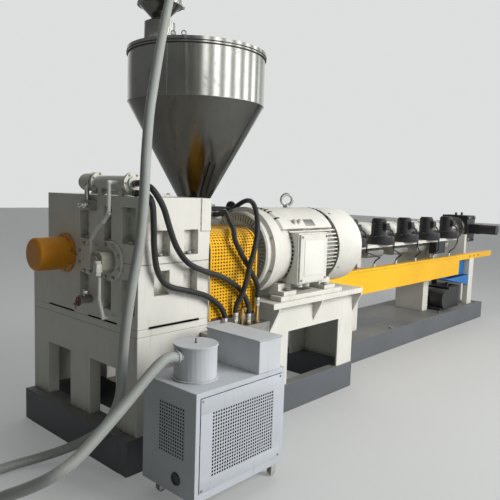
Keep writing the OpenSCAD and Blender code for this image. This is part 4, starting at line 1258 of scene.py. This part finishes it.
@dataclass
class LoaderUnit:
    """The vacuum loader's power unit: castors, screwed near panel, perforated sides and filter drum.

    Args:
        holes: the perforations of both sides.
        columns: holes in a row of the near field.
        rows: number of its rows.
        corner: x and z of its lower corner.
        side_columns: holes in a row of the side field.
        side_rows: number of its rows.
        side_corner: y and z of its lower corner.
        margin: how far the near panel stands in from the cabinet's sides and top.
        foot_margin: how far it stands up from the cabinet's lower edge.
        gap: width of the dark strip round it, a painted shadow in the gap.
        grommet: y and z of the cable grommet.
        drum_centre: x and y of the filter drum's axis.
        drum_radius: the drum's radius.
        inlet_z: height of the hose's inlet.
        wheel_radius: radius of the castors' wheels.
        trail: how far a wheel's axle trails its pin.
    """

    holes: Perforated = field(default_factory=lambda: Perforated(0.0163, 0.0112, 0.001))
    columns: int = 26
    rows: int = 19
    corner: tuple[float, float] = (0.016, 0.187)
    side_columns: int = 11
    side_rows: int = 15
    side_corner: tuple[float, float] = (-1.172, 0.268)
    margin: float = 0.028
    foot_margin: float = 0.042
    gap: float = 0.0016
    grommet: tuple[float, float] = (-1.118, 0.165)
    drum_centre: tuple[float, float] = (0.075, -1.060)
    drum_radius: float = 0.104
    inlet_z: float = 0.721
    wheel_radius: float = 0.024
    trail: float = 0.018

    def near_panel(self) -> None:
        """A screwed sheet with its field of holes, and a dark sheet behind them that paints the shade inside
        the cabinet.
        """
        low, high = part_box("loader_cabinet")
        start, foot = self.corner
        end, head = start + self.columns * self.holes.pitch, foot + self.rows * self.holes.pitch
        left, right = low.x + self.margin, high.x - self.margin
        bottom, top = low.z + self.foot_margin, high.z - self.margin
        outline = (left, bottom, right, top)
        face, back = low.y - 0.0025, low.y - 0.0003
        sheet = upright_rim(outline, (start, foot, end, head), face, back, 0.0005)
        grid = self.holes.panel((start, face + 0.0012, foot), Axis.X.value, Axis.Z.value,
                                self.columns, self.rows)
        finish_piece(join([sheet, grid]), "loader_near_panel", Slot.PALE, material=SHADED_CABINET_COAT)
        # painted shadow: a near-black rim in the gap round the panel
        opening = (left - self.gap, bottom - self.gap, right + self.gap, top + self.gap)
        gap = upright_rim(opening, outline, back, low.y + 0.0005)
        finish_piece(gap, "loader_panel_gap", Slot.PALE, material=SHADE_AND_JOINT_BLACK)
        # painted shade: a near-black sheet behind the holes
        inside = block((start, back - 0.0004, foot), (end, back - 0.0001, head), 0)
        finish_piece(inside, "loader_shade_sheet_near", Slot.PALE, material=SHADE_AND_JOINT_BLACK)
        inset = 0.012
        screws = [facing((x, face, z), Axis.BACK_Y.value) for x in (left + inset, right - inset)
                  for z in (bottom + inset, top - inset)]
        finish_piece(spread(pan_screw(0.006), screws), "loader_panel_screws", Slot.STEEL)

    def side_panel(self) -> None:
        """The field of holes, a dark sheet behind it that paints the shade inside, and the cable grommet in
        the rear side.
        """
        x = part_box("loader_cabinet")[0].x
        y, z = self.side_corner
        wide, tall = self.side_columns * self.holes.pitch, self.side_rows * self.holes.pitch
        grid = self.holes.panel((x - 0.0016, y + wide, z), Axis.BACK_Y.value, Axis.Z.value,
                                self.side_columns, self.side_rows)
        finish_piece(grid, "loader_side_grid", Slot.PALE, material=SHADED_CABINET_COAT)
        # painted shade: a near-black sheet behind the holes
        inside = block((x - 0.0006, y, z), (x - 0.0001, y + wide, z + tall), 0)
        finish_piece(inside, "loader_shade_sheet_side", Slot.PALE, material=SHADE_AND_JOINT_BLACK)
        grommet = ring(0.026, 0.006, (x, *self.grommet), Axis.X.value)
        plug = rod(0.025, (x - 0.001, *self.grommet), (x + 0.001, *self.grommet), 32, 0)
        finish_piece(join([grommet, plug]), "loader_grommet", Slot.RUBBER)

    def drum(self) -> None:
        """The drum's knob, the bead on its lid, the seal at its foot and the hose's clamp."""
        low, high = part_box("loader_filter_drum")
        x, y = self.drum_centre
        knob = join([rod(radius, (x, y, high.z), (x, y, high.z + tall), sides)
                     for radius, tall, sides in ((0.0032, 0.022, 12), (0.0065, 0.004, 16))])
        finish_piece(knob, "drum_knob", Slot.BLACK)
        bead = ring(self.drum_radius + 0.002, 0.003, (x, y, high.z - 0.004), Axis.Z.value, 72)
        finish_piece(bead, "drum_lid_bead", Slot.PALE)
        seal = ring(self.drum_radius + 0.0015, 0.0028, (x, y, low.z + 0.004), Axis.Z.value, 72)
        finish_piece(seal, "drum_seal", Slot.RUBBER)
        inlet = ring(0.0275, 0.003, (low.x + 0.012, y, self.inlet_z), Axis.X.value, 40)
        finish_piece(inlet, "drum_inlet_clamp", Slot.STEEL)

    def castors(self) -> None:
        """Four swivel castors: a pale wheel in a plated fork under its plate."""
        low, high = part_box("loader_casters")
        axle, trail, top = self.wheel_radius, self.trail, high.z
        wheel = join([rod(axle, (trail, -0.010, axle), (trail, 0.010, axle), 32, 0.004),
                      rod(axle * 0.45, (trail, -0.0125, axle), (trail, 0.0125, axle), 24, 0.001)])
        cheek = 0.0015
        fork = [block((-0.004, y - cheek, axle - 0.008), (trail + 0.012, y + cheek, top - 0.016), 0.0006)
                for y in (-0.015, 0.015)]
        fork += [block((-0.016, -0.018, top - 0.018), (0.022, 0.018, top - 0.012), 0.001),
                 rod(0.015, (0.004, 0, top - 0.012), (0.004, 0, top - 0.004)),
                 block((-0.026, -0.024, top - 0.004), (0.032, 0.024, top), 0.001),
                 rod(0.004, (trail, -0.019, axle), (trail, 0.019, axle), 12)]
        places = [Matrix.Translation((x, y, 0)) for x in (low.x + 0.032, high.x - 0.030)
                  for y in (low.y + 0.024, high.y - 0.024)]
        finish_piece(spread(wheel, places), "castor_wheels", Slot.RUBBER, ("loader_casters",), PALE_TREAD)
        finish_piece(spread(join(fork), places), "castor_forks", Slot.STEEL, material=BRIGHT)

    def build(self) -> None:
        """Dresses the whole unit."""
        self.castors()
        self.near_panel()
        self.side_panel()
        self.drum()


@dataclass
class Gearbox:
    """Fasteners and small fittings of the gearbox, its pedestal and the oil circuit.

    Args:
        cover_face: x of the rear covers' faces.
        covers: y, radius of the bolt circle and first bolt's angle of each rear cover.
        side_seat: height of the side panels' floors, which carry bolts.
        rear_seat: height of the rear panels' floors.
        rear_bolts: y of the bolts on the rear panels' floors.
        slit: lowest and highest z of the slits at the case's foot, painted near-black as shade.
        side_slit: x of the near side's slit, from end to end.
        rear_slits: y of the rear side's slits, from end to end.
        plug: y and z of the drain plug.
        cooler_x: x of the oil cooler's axis.
        cooler_z: height of the oil cooler's axis.
        cooler_flange: y of its second flange.
        valves: y of the two valves under the cooler.
        valve_z: their height.
        hand_wheel: middle of the lower valve's hand wheel.
        clamp_reach: how far each water hose's first clamp stands off its port.
    """

    cover_face: float = -0.0165
    covers: tuple[tuple[float, ...], ...] = ((MOTOR_Y, 0.094, 0.39), (-0.257, 0.084, 0.39), (0, 0.1035, 0.2))
    side_seat: float = 1.138
    rear_seat: float = 1.200
    rear_bolts: tuple[float, ...] = (-0.615, -0.425, -0.199)
    slit: tuple[float, float] = (0.765, 0.773)
    side_slit: tuple[float, float] = (0.074, 0.416)
    rear_slits: tuple[tuple[float, float], ...] = ((-0.518, -0.242), (-0.082, 0.189))
    plug: tuple[float, float] = (-0.10, 0.80)
    cooler_x: float = 0.028
    cooler_z: float = 1.513
    cooler_flange: float = -0.307
    valves: tuple[float, float] = (-0.320, -0.282)
    valve_z: float = 1.390
    hand_wheel: Point = (-0.092, -0.289, 0.867)
    clamp_reach: tuple[float, ...] = (0.017, 0.017, 0.016, 0.016)

    def cover_bolts(self) -> None:
        """Bolts round the bearing covers and the orange cap's flange."""
        places = []
        for y, radius, start in self.covers:
            places += circle_of((self.cover_face, y, SCREW_Z), Axis.BACK_X.value, radius, 8, start)
        Bolt(size=0.010).row("cover_bolts", places)

    def case_bolts(self) -> None:
        """Bolts that clamp the case along its split, and those of the inspection cover."""
        low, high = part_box("gearbox_upper_case")
        middle = (low.x + high.x) / 2
        places = [facing((middle + dx, y, self.side_seat), Axis.Z.value) for dx in (-0.092, 0.106)
                  for y in (low.y + 0.026, high.y - 0.026)]
        places += [facing((0.026, y, self.rear_seat), Axis.Z.value) for y in self.rear_bolts]
        Bolt(size=0.020).row("split_bolts", places)
        low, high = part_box("inspection_cover")
        edge = 0.018
        places = [facing((x, y, low.z + 0.012), Axis.Z.value) for x in (low.x + edge, high.x - edge)
                  for y in (low.y + edge, (low.y + high.y) / 2, high.y - edge)]
        Bolt(size=0.010).row("inspection_bolts", places)

    def seams(self) -> None:
        """The dark joint line round the case's split, the slits at its foot painted with shade, and the drain
        plug.
        """
        low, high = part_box("gearbox_upper_case")
        thin = 0.0004
        under, over = SCREW_Z - thin, SCREW_Z + thin
        sides = [block((low.x - thin, low.y + 0.004, under), (low.x, high.y, over), 0),
                 block((low.x + 0.004, low.y - thin, under), (high.x - 0.004, low.y, over), 0)]
        finish_piece(join(sides), "case_joint_line", Slot.BLACK, material=SHADE_AND_JOINT_BLACK)
        under, over = self.slit
        # painted shade: near-black blocks stand for the shade inside the slits
        slits = [block((self.side_slit[0], low.y - thin, under), (self.side_slit[1], low.y + 0.01, over), 0)]
        slits += [block((-thin, start, under), (0.01, end, over), 0) for start, end in self.rear_slits]
        finish_piece(join(slits), "pad_gaps", Slot.BLACK, material=SHADE_AND_JOINT_BLACK)
        plug = join([rod(0.016, (0, *self.plug), (-0.012, *self.plug), HEX, 0.002),
                     rod(0.021, (0, *self.plug), (-0.003, *self.plug))])
        finish_piece(plug, "drain_plug", Slot.STEEL)

    def pipework(self) -> None:
        """Bolts on the cooler's flanges, union nuts on the oil pipes and the tee at the pump."""
        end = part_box("oil_cooler")[0].y + 0.012
        places = []
        for y, radius, start in ((end, 0.047, 0), (self.cooler_flange, 0.048, 0.5)):
            places += circle_of((self.cooler_x, y, self.cooler_z), Axis.BACK_Y.value, radius, 6, start)
        Bolt(size=0.006).row("cooler_bolts", places)
        unions = ((0.017, (-0.060, -0.413, 1.1), (-0.060, -0.398, 1.1)),
                  (0.017, (-0.060, -0.526, 1.36), (-0.060, -0.526, 1.378)),
                  (0.016, (-0.085, -0.482, 1.04), (-0.085, -0.482, 1.022)))
        finish_piece(join([rod(*union, HEX) for union in unions]), "pipe_unions", Slot.STEEL)
        x, y, low, high = -0.110, -0.505, 1.052, 1.098
        tee = join([block((x - 0.018, y - 0.018, low), (x + 0.018, y + 0.018, high), 0.004),
                    rod(0.020, (x, y, high), (x, y, high + 0.014), HEX),
                    rod(0.018, (x, y, low - 0.016), (x, y, low), HEX)])
        finish_piece(tee, "pump_tee", Slot.CREAM)

    def valve_trim(self) -> None:
        """Nuts of the valves on the rear side, the lower valve's hand wheel and the pump's bolts."""
        nuts = []
        for y in self.valves:
            nuts += [rod(0.0185, (-0.068, y, self.valve_z), (-0.081, y, self.valve_z), HEX, 0.002),
                     rod(0.010, (-0.081, y, self.valve_z), (-0.092, y, self.valve_z), 16)]
        x, y, z = self.hand_wheel
        nuts.append(rod(0.015, (x + 0.048, y, z + 0.038), (x + 0.048, y, z + 0.054), HEX, 0.002))
        finish_piece(join(nuts), "valve_nuts", Slot.STEEL, material=BRIGHT)
        reach = 0.026
        wheel = [ring(0.023, 0.0042, (x, y, z), Axis.X.value, 36),
                 rod(0.007, (x + 0.008, y, z), (x - 0.006, y, z), 16),
                 rod(0.0035, (x, y - reach, z), (x, y + reach, z), 10),
                 rod(0.0035, (x, y, z - reach), (x, y, z + reach), 10)]
        finish_piece(join(wheel), "valve_hand_wheel", Slot.ORANGE, material=FADED_RED)
        face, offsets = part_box("oil_pump")[0].x + 0.014, (-0.036, 0.036)
        heads = [facing((face, MOTOR_Y + dy, SCREW_Z + dz), Axis.BACK_X.value)
                 for dy in offsets for dz in offsets]
        Bolt(size=0.007).row("pump_bolts", heads)

    def hose_ends(self) -> None:
        """Clamps at both ends of the water hoses and the ferrules on the water manifold."""
        clamps, ferrules = [], []
        for route, reach in zip(Hoses().water().values(), self.clamp_reach):
            start, (x, y, z) = Vector(route[0]) * MM, Vector(route[-1]) * MM
            clamps += [ring(0.0165, 0.0022, start - Vector((0, reach, 0)), Axis.Y.value, 32),
                       ring(0.0165, 0.0022, (x, y, z + 0.014), Axis.Z.value, 32)]
            ferrules += [rod(0.0178, (x, y, z - 0.006), (x, y, z + 0.034), 32, 0.002),
                         rod(0.0195, (x, y, z - 0.020), (x, y, z - 0.006), HEX, 0.002)]
        finish_piece(join(clamps), "hose_clamps", Slot.STEEL)
        finish_piece(join(ferrules), "hose_ferrules", Slot.STEEL, material=BRIGHT)

    def build(self) -> None:
        """Dresses the gearbox."""
        self.cover_bolts()
        self.case_bolts()
        self.seams()
        self.pipework()
        self.valve_trim()
        self.hose_ends()


@dataclass
class Motor:
    """Fasteners and small fittings of the motor and its stand.

    Args:
        lid_bottom: height of the terminal lid's lower edge.
        lid_inset: how far the pillow pressed in it stands in from its edges.
        crown: distance of the hood's skin from the motor's axis.
        louvres: name, x and direction along the motor of the hood's rows of louvres.
        louvre_angles: degrees round the axis from +Y where louvres stand.
        plate: x, angle and distance from the axis of the hood's blank plate.
        lugs: x of the hood's lugs.
        lug_angle: degrees round the axis where they stand.
        eye: foot of the lifting eye.
        bell_circle: radius of the drive-end bell's bolt circle.
        cowl_radius: radius of the fan cowl.
        cowl_angles: degrees round the axis where its screws stand.
        foot_z: height of the feet's upper faces.
        foot_reach: how far the foot bolts stand beside the axis.
    """

    lid_bottom: float = 0.894
    lid_inset: float = 0.052
    crown: float = 0.284
    louvres: tuple[tuple[str, float, int], ...] = (("front", 1.131, 1), ("back", 1.705, -1))
    louvre_angles: tuple[float, ...] = (60, 67, 74, 81, 92, 99, 106, 113, 128)
    plate: tuple[float, float, float] = (1.437, 138, 0.2838)
    lugs: tuple[float, float] = (1.268, 1.322)
    lug_angle: float = 137
    eye: Point = (1.448, MOTOR_Y, 1.384)
    bell_circle: float = 0.274
    cowl_radius: float = 0.2795
    cowl_angles: tuple[float, ...] = (30, 120, 210, 300)
    foot_z: float = 0.848
    foot_reach: float = 0.243

    def box_lid(self) -> None:
        """The screws of the terminal box's lid and the pillow pressed in it."""
        low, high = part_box("motor_terminal_box")
        edge, inset = 0.026, self.lid_inset
        places = [facing((x, low.y, z), Axis.BACK_Y.value) for x in (low.x + edge, high.x - edge)
                  for z in (self.lid_bottom + edge, high.z - edge)]
        Bolt(size=0.008).row("terminal_lid_bolts", places)
        pillow = block((low.x + inset, low.y - 0.0035, self.lid_bottom + inset),
                       (high.x - inset, low.y + 0.006, high.z - inset), 0)
        bevel_sharp(pillow, 0.0034, 3)
        finish_piece(pillow, "terminal_lid_panel", Slot.CREAM, material=LIT_CLEAN_CREAM)

    def on_crown(self, x: float, angle: float, radius: float) -> Matrix:
        """A place on the motor's hood.

        Args:
            x: how far along the motor.
            angle: degrees round its axis from +Y.
            radius: distance from its axis.

        Returns:
            The matrix that lays a flat piece there, its length along the motor.
        """
        turn = Matrix.Rotation(math.radians(angle - 90), 4, "X")
        return Matrix.Translation((x, MOTOR_Y, SCREW_Z)) @ turn @ Matrix.Translation((0, 0, radius))

    def hood(self) -> None:
        """The hood's louvres, near-black to paint the shade in their slots, its blank plate and its lugs."""
        half = 0.0058
        for name, x, side in self.louvres:
            sloped = block((-0.0345, -half, -0.001), (0.001, half, 0.0006), 0.0003)
            sloped.data.transform(Matrix.Rotation(math.radians(-45), 4, "Y"))
            louvre = join([sloped, block((-0.001, -half, -0.001), (0.030, half, 0.0006), 0.0003)])
            if side < 0:
                louvre.data.transform(Matrix.Rotation(math.pi, 4, "Z"))
            places = [self.on_crown(x, angle, self.crown) for angle in self.louvre_angles]
            # painted shade: the louvres are near-black, standing for the shade in the vent slots
            finish_piece(spread(louvre, places), "hood_louvres_" + name, Slot.BLACK, material=SHADE_AND_JOINT_BLACK)
        plate = block((-0.052, -0.027, 0), (0.052, 0.027, 0.002), 0.0005)
        finish_piece(spread(plate, [self.on_crown(*self.plate)]), "hood_plate", Slot.STEEL)
        lug = join([block((-0.010, -0.014, -0.004), (0.010, 0.014, 0.022), 0.003),
                    rod(0.007, (0, 0, 0.020), (0, 0, 0.028), HEX)])
        places = [self.on_crown(x, self.lug_angle, self.crown) for x in self.lugs]
        finish_piece(spread(lug, places), "hood_lugs", Slot.CREAM)

    def lifting_eye(self) -> None:
        """The eye with its collar on the motor's crown, turned a little from the motor's axis."""
        x, y, z = self.eye
        pieces = [ring(0.0385, 0.0115, (x, y, z + 0.054), Vector((0.669, 0.743, 0)), 40),
                  rod(0.026, (x, y, z - 0.004), (x, y, z + 0.010), 32, 0.003),
                  rod(0.015, (x, y, z + 0.008), (x, y, z + 0.018), 24, 0.002)]
        finish_piece(join(pieces), "lifting_eye", Slot.STEEL, ("motor_lifting_eye",), BRIGHT)

    def fasteners(self) -> None:
        """Bolts of the end bell, the fan cowl and the feet."""
        bell, cowl, body = (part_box(node) for node in ("motor_end_bell", "motor_fan_cowl", "motor_frame"))
        rim = (bell[0].x + 0.048, MOTOR_Y, SCREW_Z)
        Bolt(size=0.010).row("bell_bolts", circle_of(rim, Axis.BACK_X.value, self.bell_circle, 8, 0.39))
        middle = Matrix.Translation((cowl[0].x + 0.05, MOTOR_Y, SCREW_Z))
        out = facing((0, -self.cowl_radius, 0), Axis.BACK_Y.value)
        places = [middle @ Matrix.Rotation(math.radians(angle), 4, "X") @ out for angle in self.cowl_angles]
        finish_piece(spread(pan_screw(0.008), places), "cowl_screws", Slot.STEEL)
        feet = [facing((x, MOTOR_Y + y, self.foot_z), Axis.Z.value)
                for x in (body[0].x + 0.085, body[1].x - 0.145) for y in (-self.foot_reach, self.foot_reach)]
        Bolt(size=0.020).row("foot_bolts", feet)

    def build(self) -> None:
        """Dresses the motor."""
        self.box_lid()
        self.hood()
        self.lifting_eye()
        self.fasteners()


@dataclass
class Hopper:
    """Seams, hoops, dark rubber rings that paint the shade at the lid's edge, and bolts of the hopper, and
    the clamps of the vacuum receiver.

    Args:
        centre: x and y of the hopper's axis.
        radius: the hopper's radius.
        wall: height of its upright wall.
        weld_angle: degrees round the hopper where the wall's weld runs down.
        hoops: x and y of the two hoops on the lid.
        lid_top: radius of the lid's flat middle.
        shade_seals: how far the dark rubber rings sit under the lid's underside.
        clamp_heights: lower edges of the receiver's clamps.
        clamp_angles: degrees at which they stand.
        inlet: y and z of the hose's clamp at the receiver.
        outlet_z: height of the outlet flange's upper face.
        outlet_circle: radius of its bolt circle.
    """

    centre: tuple[float, float] = (0.990, 0.0)
    radius: float = 0.468
    wall: float = 0.330
    weld_angle: float = 205
    hoops: tuple[tuple[float, float], ...] = ((0.612, -0.199), (0.656, -0.247))
    lid_top: float = 0.150
    shade_seals: tuple[float, float] = (0.0005, 0.016)
    clamp_heights: tuple[float, ...] = (2.650, 2.902, 3.088)
    clamp_angles: tuple[float, float] = (200, 330)
    inlet: tuple[float, float] = (-0.186, 2.818)
    outlet_z: float = 1.390
    outlet_circle: float = 0.128

    def seams(self) -> None:
        """A rolled bead where wall and cone meet, and the weld down the wall."""
        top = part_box("hopper_shell")[1].z
        bead = ring(self.radius - 0.0005, 0.0022, (*self.centre, top - self.wall), Axis.Z.value, 128)
        weld = rod(0.0009, (self.radius, 0, top - self.wall + 0.005), (self.radius, 0, top - 0.02), 10, 0)
        turn = Matrix.Rotation(math.radians(self.weld_angle), 4, "Z")
        weld.data.transform(Matrix.Translation((*self.centre, 0)) @ turn)
        finish_piece(join([bead, weld]), "hopper_seams", Slot.STAINLESS)

    def fittings(self) -> None:
        """Two hoops on the lid, and dark rubber rings over and under the rim that paint the shade along the
        lid's edge.
        """
        low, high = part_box("hopper_lid")
        slope = (high.z - low.z - 0.022) / (self.radius + 0.007 - self.lid_top)
        hoops = []
        for x, y in self.hoops:
            out = Vector((x - self.centre[0], y - self.centre[1])).length
            z = high.z - (out - self.lid_top) * slope
            hoops += [ring(0.0135, 0.004, (x, y, z + 0.017), Vector((0.60, 0.80, 0)), 24),
                      rod(0.010, (x, y, z - 0.006), (x, y, z + 0.003), 20)]
        finish_piece(join(hoops), "lid_hoops", Slot.STEEL)
        # painted shade: black rubber rings darken the lid's edge
        shade_seals = [ring(self.radius + 0.0065, 0.003, (*self.centre, low.z - drop), Axis.Z.value, 128)
                 for drop in self.shade_seals]
        finish_piece(join(shade_seals), "lid_shade_seals", Slot.RUBBER)

    def receiver(self) -> None:
        """The lugs and screws of the receiver's clamps, and the hose's clamp at its inlet."""
        low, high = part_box("receiver")
        x = (low.x + high.x) / 2
        lug = join([rod(0.003, (0.153, -0.020, 0.007), (0.153, 0.020, 0.007), 8),
                    *(block((0.143, y, 0), (0.160, y + 0.006, 0.014), 0.001) for y in (-0.012, 0.006))])
        places = [Matrix.Translation((x, 0, z)) @ Matrix.Rotation(math.radians(angle), 4, "Z")
                  for z in self.clamp_heights for angle in self.clamp_angles]
        finish_piece(spread(lug, places), "receiver_clamps", Slot.STEEL)
        clamp = ring(0.0285, 0.003, (x, *self.inlet), Axis.Y.value, 32)
        finish_piece(clamp, "receiver_inlet_clamp", Slot.STEEL)

    def flange(self) -> None:
        """Bolts through the outlet flange and the slide gate."""
        places = circle_of((*self.centre, self.outlet_z), Axis.Z.value, self.outlet_circle, 8, 0.39)
        Bolt(size=0.010).row("outlet_bolts", places)

    def build(self) -> None:
        """Dresses the hopper and the receiver."""
        self.seams()
        self.fittings()
        self.receiver()
        self.flange()


@dataclass
class Barrel:
    """Fasteners and small fittings along the barrel, the blowers and the cable trough.

    Args:
        first_zone: x of the first heater cover's middle.
        first_blower: x of the first blower.
        pitch: distance from one zone to the next.
        blower_count: number of blowers, one fewer than the zones.
        blower_y: y of the blowers' axes.
        cover_reach: how far the covers' near faces stand off the screw's axis.
        motor_shift: how far a blower's motor stands back from its volute's axis.
        fins: number of cooling fins on each motor.
        fin_pitch: distance between two fins.
        gland_y: y of the cable glands on the trough.
        glands: x of the last gland, and distance from one to the next.
        trough_top: height of the trough's upper face, which its glands stand on.
        lid_z: height of the lid's upper edge on the trough's near side.
        lid_end: x where the lid ends.
        arm_holes: x of the holes in the trough's arm.
        arm_z: height of the holes in the arm.
        base_bolts: x of the bolts in the long base.
    """

    first_zone: float = 2.112
    first_blower: float = 2.606
    pitch: float = 0.494
    blower_count: int = 5
    blower_y: float = -0.280
    cover_reach: float = 0.1185
    motor_shift: float = 0.025
    fins: int = 5
    fin_pitch: float = 0.022
    gland_y: float = -0.304
    glands: tuple[float, float] = (4.631, 0.412)
    trough_top: float = 0.818
    lid_z: float = 0.815
    lid_end: float = 4.886
    arm_holes: tuple[float, ...] = (5.188, 5.318, 5.448)
    arm_z: float = 0.786
    base_bolts: tuple[float, ...] = (2.2, 3.3, 4.4, 5.4)

    def covers(self) -> None:
        """Straps round the heater covers and the screws in their near faces."""
        straps, screws = [], []
        for i in range(self.blower_count + 1):
            middle = self.first_zone + i * self.pitch
            straps += [ring(self.cover_reach, 0.0022, (middle + dx, 0, SCREW_Z), Axis.X.value, 64)
                       for dx in (-0.170, 0.170)]
            screws += [facing((middle + dx, -self.cover_reach, z), Axis.BACK_Y.value)
                       for dx in (-0.19, 0.19) for z in (0.93, 1.07)]
        finish_piece(join(straps), "cover_straps", Slot.ZINC)
        finish_piece(spread(pan_screw(0.007), screws), "cover_screws", Slot.STEEL)

    def blowers(self) -> None:
        """Cooling fins and connection boxes of the blowers' motors, and bolts of the volutes."""
        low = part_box("blower_motors")[0].z
        y = self.blower_y
        fins, boxes, bolts = [], [], []
        for i in range(self.blower_count):
            volute = self.first_blower + i * self.pitch
            x = volute - self.motor_shift
            fins += [ring(0.0695, 0.0026, (x, y, low + 0.032 + k * self.fin_pitch), Axis.Z.value, 40)
                     for k in range(self.fins)]
            boxes += [block((x - 0.032, y - 0.098, low + 0.062), (x + 0.032, y - 0.058, low + 0.128), 0.005),
                      rod(0.010, (x + 0.040, y - 0.080, low + 0.09), (x + 0.062, y - 0.080, low + 0.09), 12)]
            bolts += circle_of((volute, y, low), Axis.Z.value, 0.118, 6, 0.2)
        finish_piece(join(fins), "blower_motor_fins", Slot.BLACK)
        finish_piece(join(boxes), "blower_connection_boxes", Slot.BLACK)
        Bolt(size=0.007).row("volute_bolts", bolts)

    def trough(self) -> None:
        """Gland nuts, near-black discs that paint the shade in the arm's holes, the lid's seam and the screws
        of the cable trough.
        """
        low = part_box("cable_trough")[0]
        nuts = []
        for i in range(self.blower_count + 1):
            x, collar = self.glands[0] - i * self.glands[1], self.trough_top + 0.011
            nuts += [rod(0.017, (x, self.gland_y, self.trough_top), (x, self.gland_y, collar), HEX),
                     rod(0.0145, (x, self.gland_y, collar), (x, self.gland_y, self.trough_top + 0.036))]
        finish_piece(join(nuts), "gland_nuts", Slot.PALE, material=BRIGHT)
        # painted shade: flush near-black discs where the arm has holes
        holes = [rod(0.0115, (x, low.y - 0.0006, self.arm_z), (x, low.y + 0.001, self.arm_z), 20, 0)
                 for x in self.arm_holes]
        finish_piece(join(holes), "arm_holes", Slot.YELLOW, material=SHADE_AND_JOINT_BLACK)
        seam = block((low.x + 0.002, low.y - 0.0005, self.lid_z - 0.020),
                     (self.lid_end, low.y, self.lid_z - 0.0185), 0)
        finish_piece(seam, "trough_lid_seam", Slot.YELLOW, material=SHADE_AND_JOINT_BLACK)
        screws = [facing((2.20 + k * 0.235, low.y, self.lid_z - 0.009), Axis.BACK_Y.value) for k in range(12)]
        finish_piece(spread(pan_screw(0.005), screws), "trough_screws", Slot.STEEL)

    def ends(self) -> None:
        """Bolts on the screen changer and the base."""
        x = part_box("screen_changer")[0].x
        places = [facing((x + dx, -0.165, SCREW_Z + dz), Axis.BACK_Y.value) for dx in (0.03, 0.21)
                  for dz in (-0.135, 0.135)]
        Bolt(size=0.020).row("changer_bolts", places)
        low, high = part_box("barrel_base")
        feet = [facing((x, low.y + 0.05, high.z), Axis.Z.value) for x in self.base_bolts]
        Bolt(size=0.020).row("base_bolts", feet)

    def build(self) -> None:
        """Dresses the barrel's side of the machine."""
        self.covers()
        self.blowers()
        self.trough()
        self.ends()


@dataclass
class CadDress:
    """Puts the finishes on the CAD nodes and softens their edges.

    Args:
        soft: width of the bevel on the edges of castings and welded boxes.
        fine: width of the bevel on small pieces.
        cast: nodes that get the wider bevel.
        plain: nodes whose edges stay as they are.
        special: nodes with a finish other than their slot's.
    """

    soft: float = 0.004
    fine: float = 0.0012
    cast: tuple[str, ...] = ("gearbox_lower_case", "gearbox_upper_case", "pedestal_frames", "pedestal_plate",
                             "pedestal_sides", "motor_stand_top", "feed_throat", "screen_changer",
                             "loader_cabinet", "loader_control_box", "barrel_base", "base_side_rails")
    plain: tuple[str, ...] = ("hopper_shell", "hopper_lid", "motor_frame", "motor_end_bell")
    # the cabinet's darker copy of the pale coat is painted shade; the oil pipes' paler cream is painted light
    special: dict[str, bpy.types.Material] = field(default_factory=lambda: {
        "loader_cabinet": SHADED_CABINET_COAT, "hopper_sight_glass": SIGHT_GLASS, "oil_pipes": LIT_CLEAN_CREAM})

    def soften(self, node: bpy.types.Object, width: float) -> None:
        """Merges a node's loose triangles and bevels its edges by modifiers.

        Args:
            node: the CAD node.
            width: width of the bevel.
        """
        weld = node.modifiers.new("merge", "WELD")
        weld.merge_threshold = 1e-5
        bevel = node.modifiers.new("soft_edges", "BEVEL")
        bevel.width = width
        bevel.segments = 2
        bevel.limit_method = "ANGLE"
        bevel.angle_limit = math.radians(40)
        bevel.harden_normals = True

    def build(self) -> None:
        """Gives every node its finish, and softens those that still show."""
        slots = {row["node"]: Slot(row["material_slot"]) for row in frame["record"]["subparts"]}
        for name, node in frame["nodes"].items():
            node.data.materials.clear()
            node.data.materials.append(self.special.get(name, MATERIALS[slots[name]]))
            if name not in self.plain and not node.hide_render:
                self.soften(node, self.soft if name in self.cast else self.fine)
        log.info("dressed %d CAD nodes", len(frame["nodes"]))


def main() -> None:
    """Builds the studio and each part of the dressing in order."""
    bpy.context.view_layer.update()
    for part in (Studio(), Hoses(), Gearbox(), CouplingGuard(), Motor(), Hopper(), LoaderUnit(), Barrel(),
                 CadDress()):
        part.build()
    bpy.context.view_layer.update()


if __name__ == "__main__":
    main()
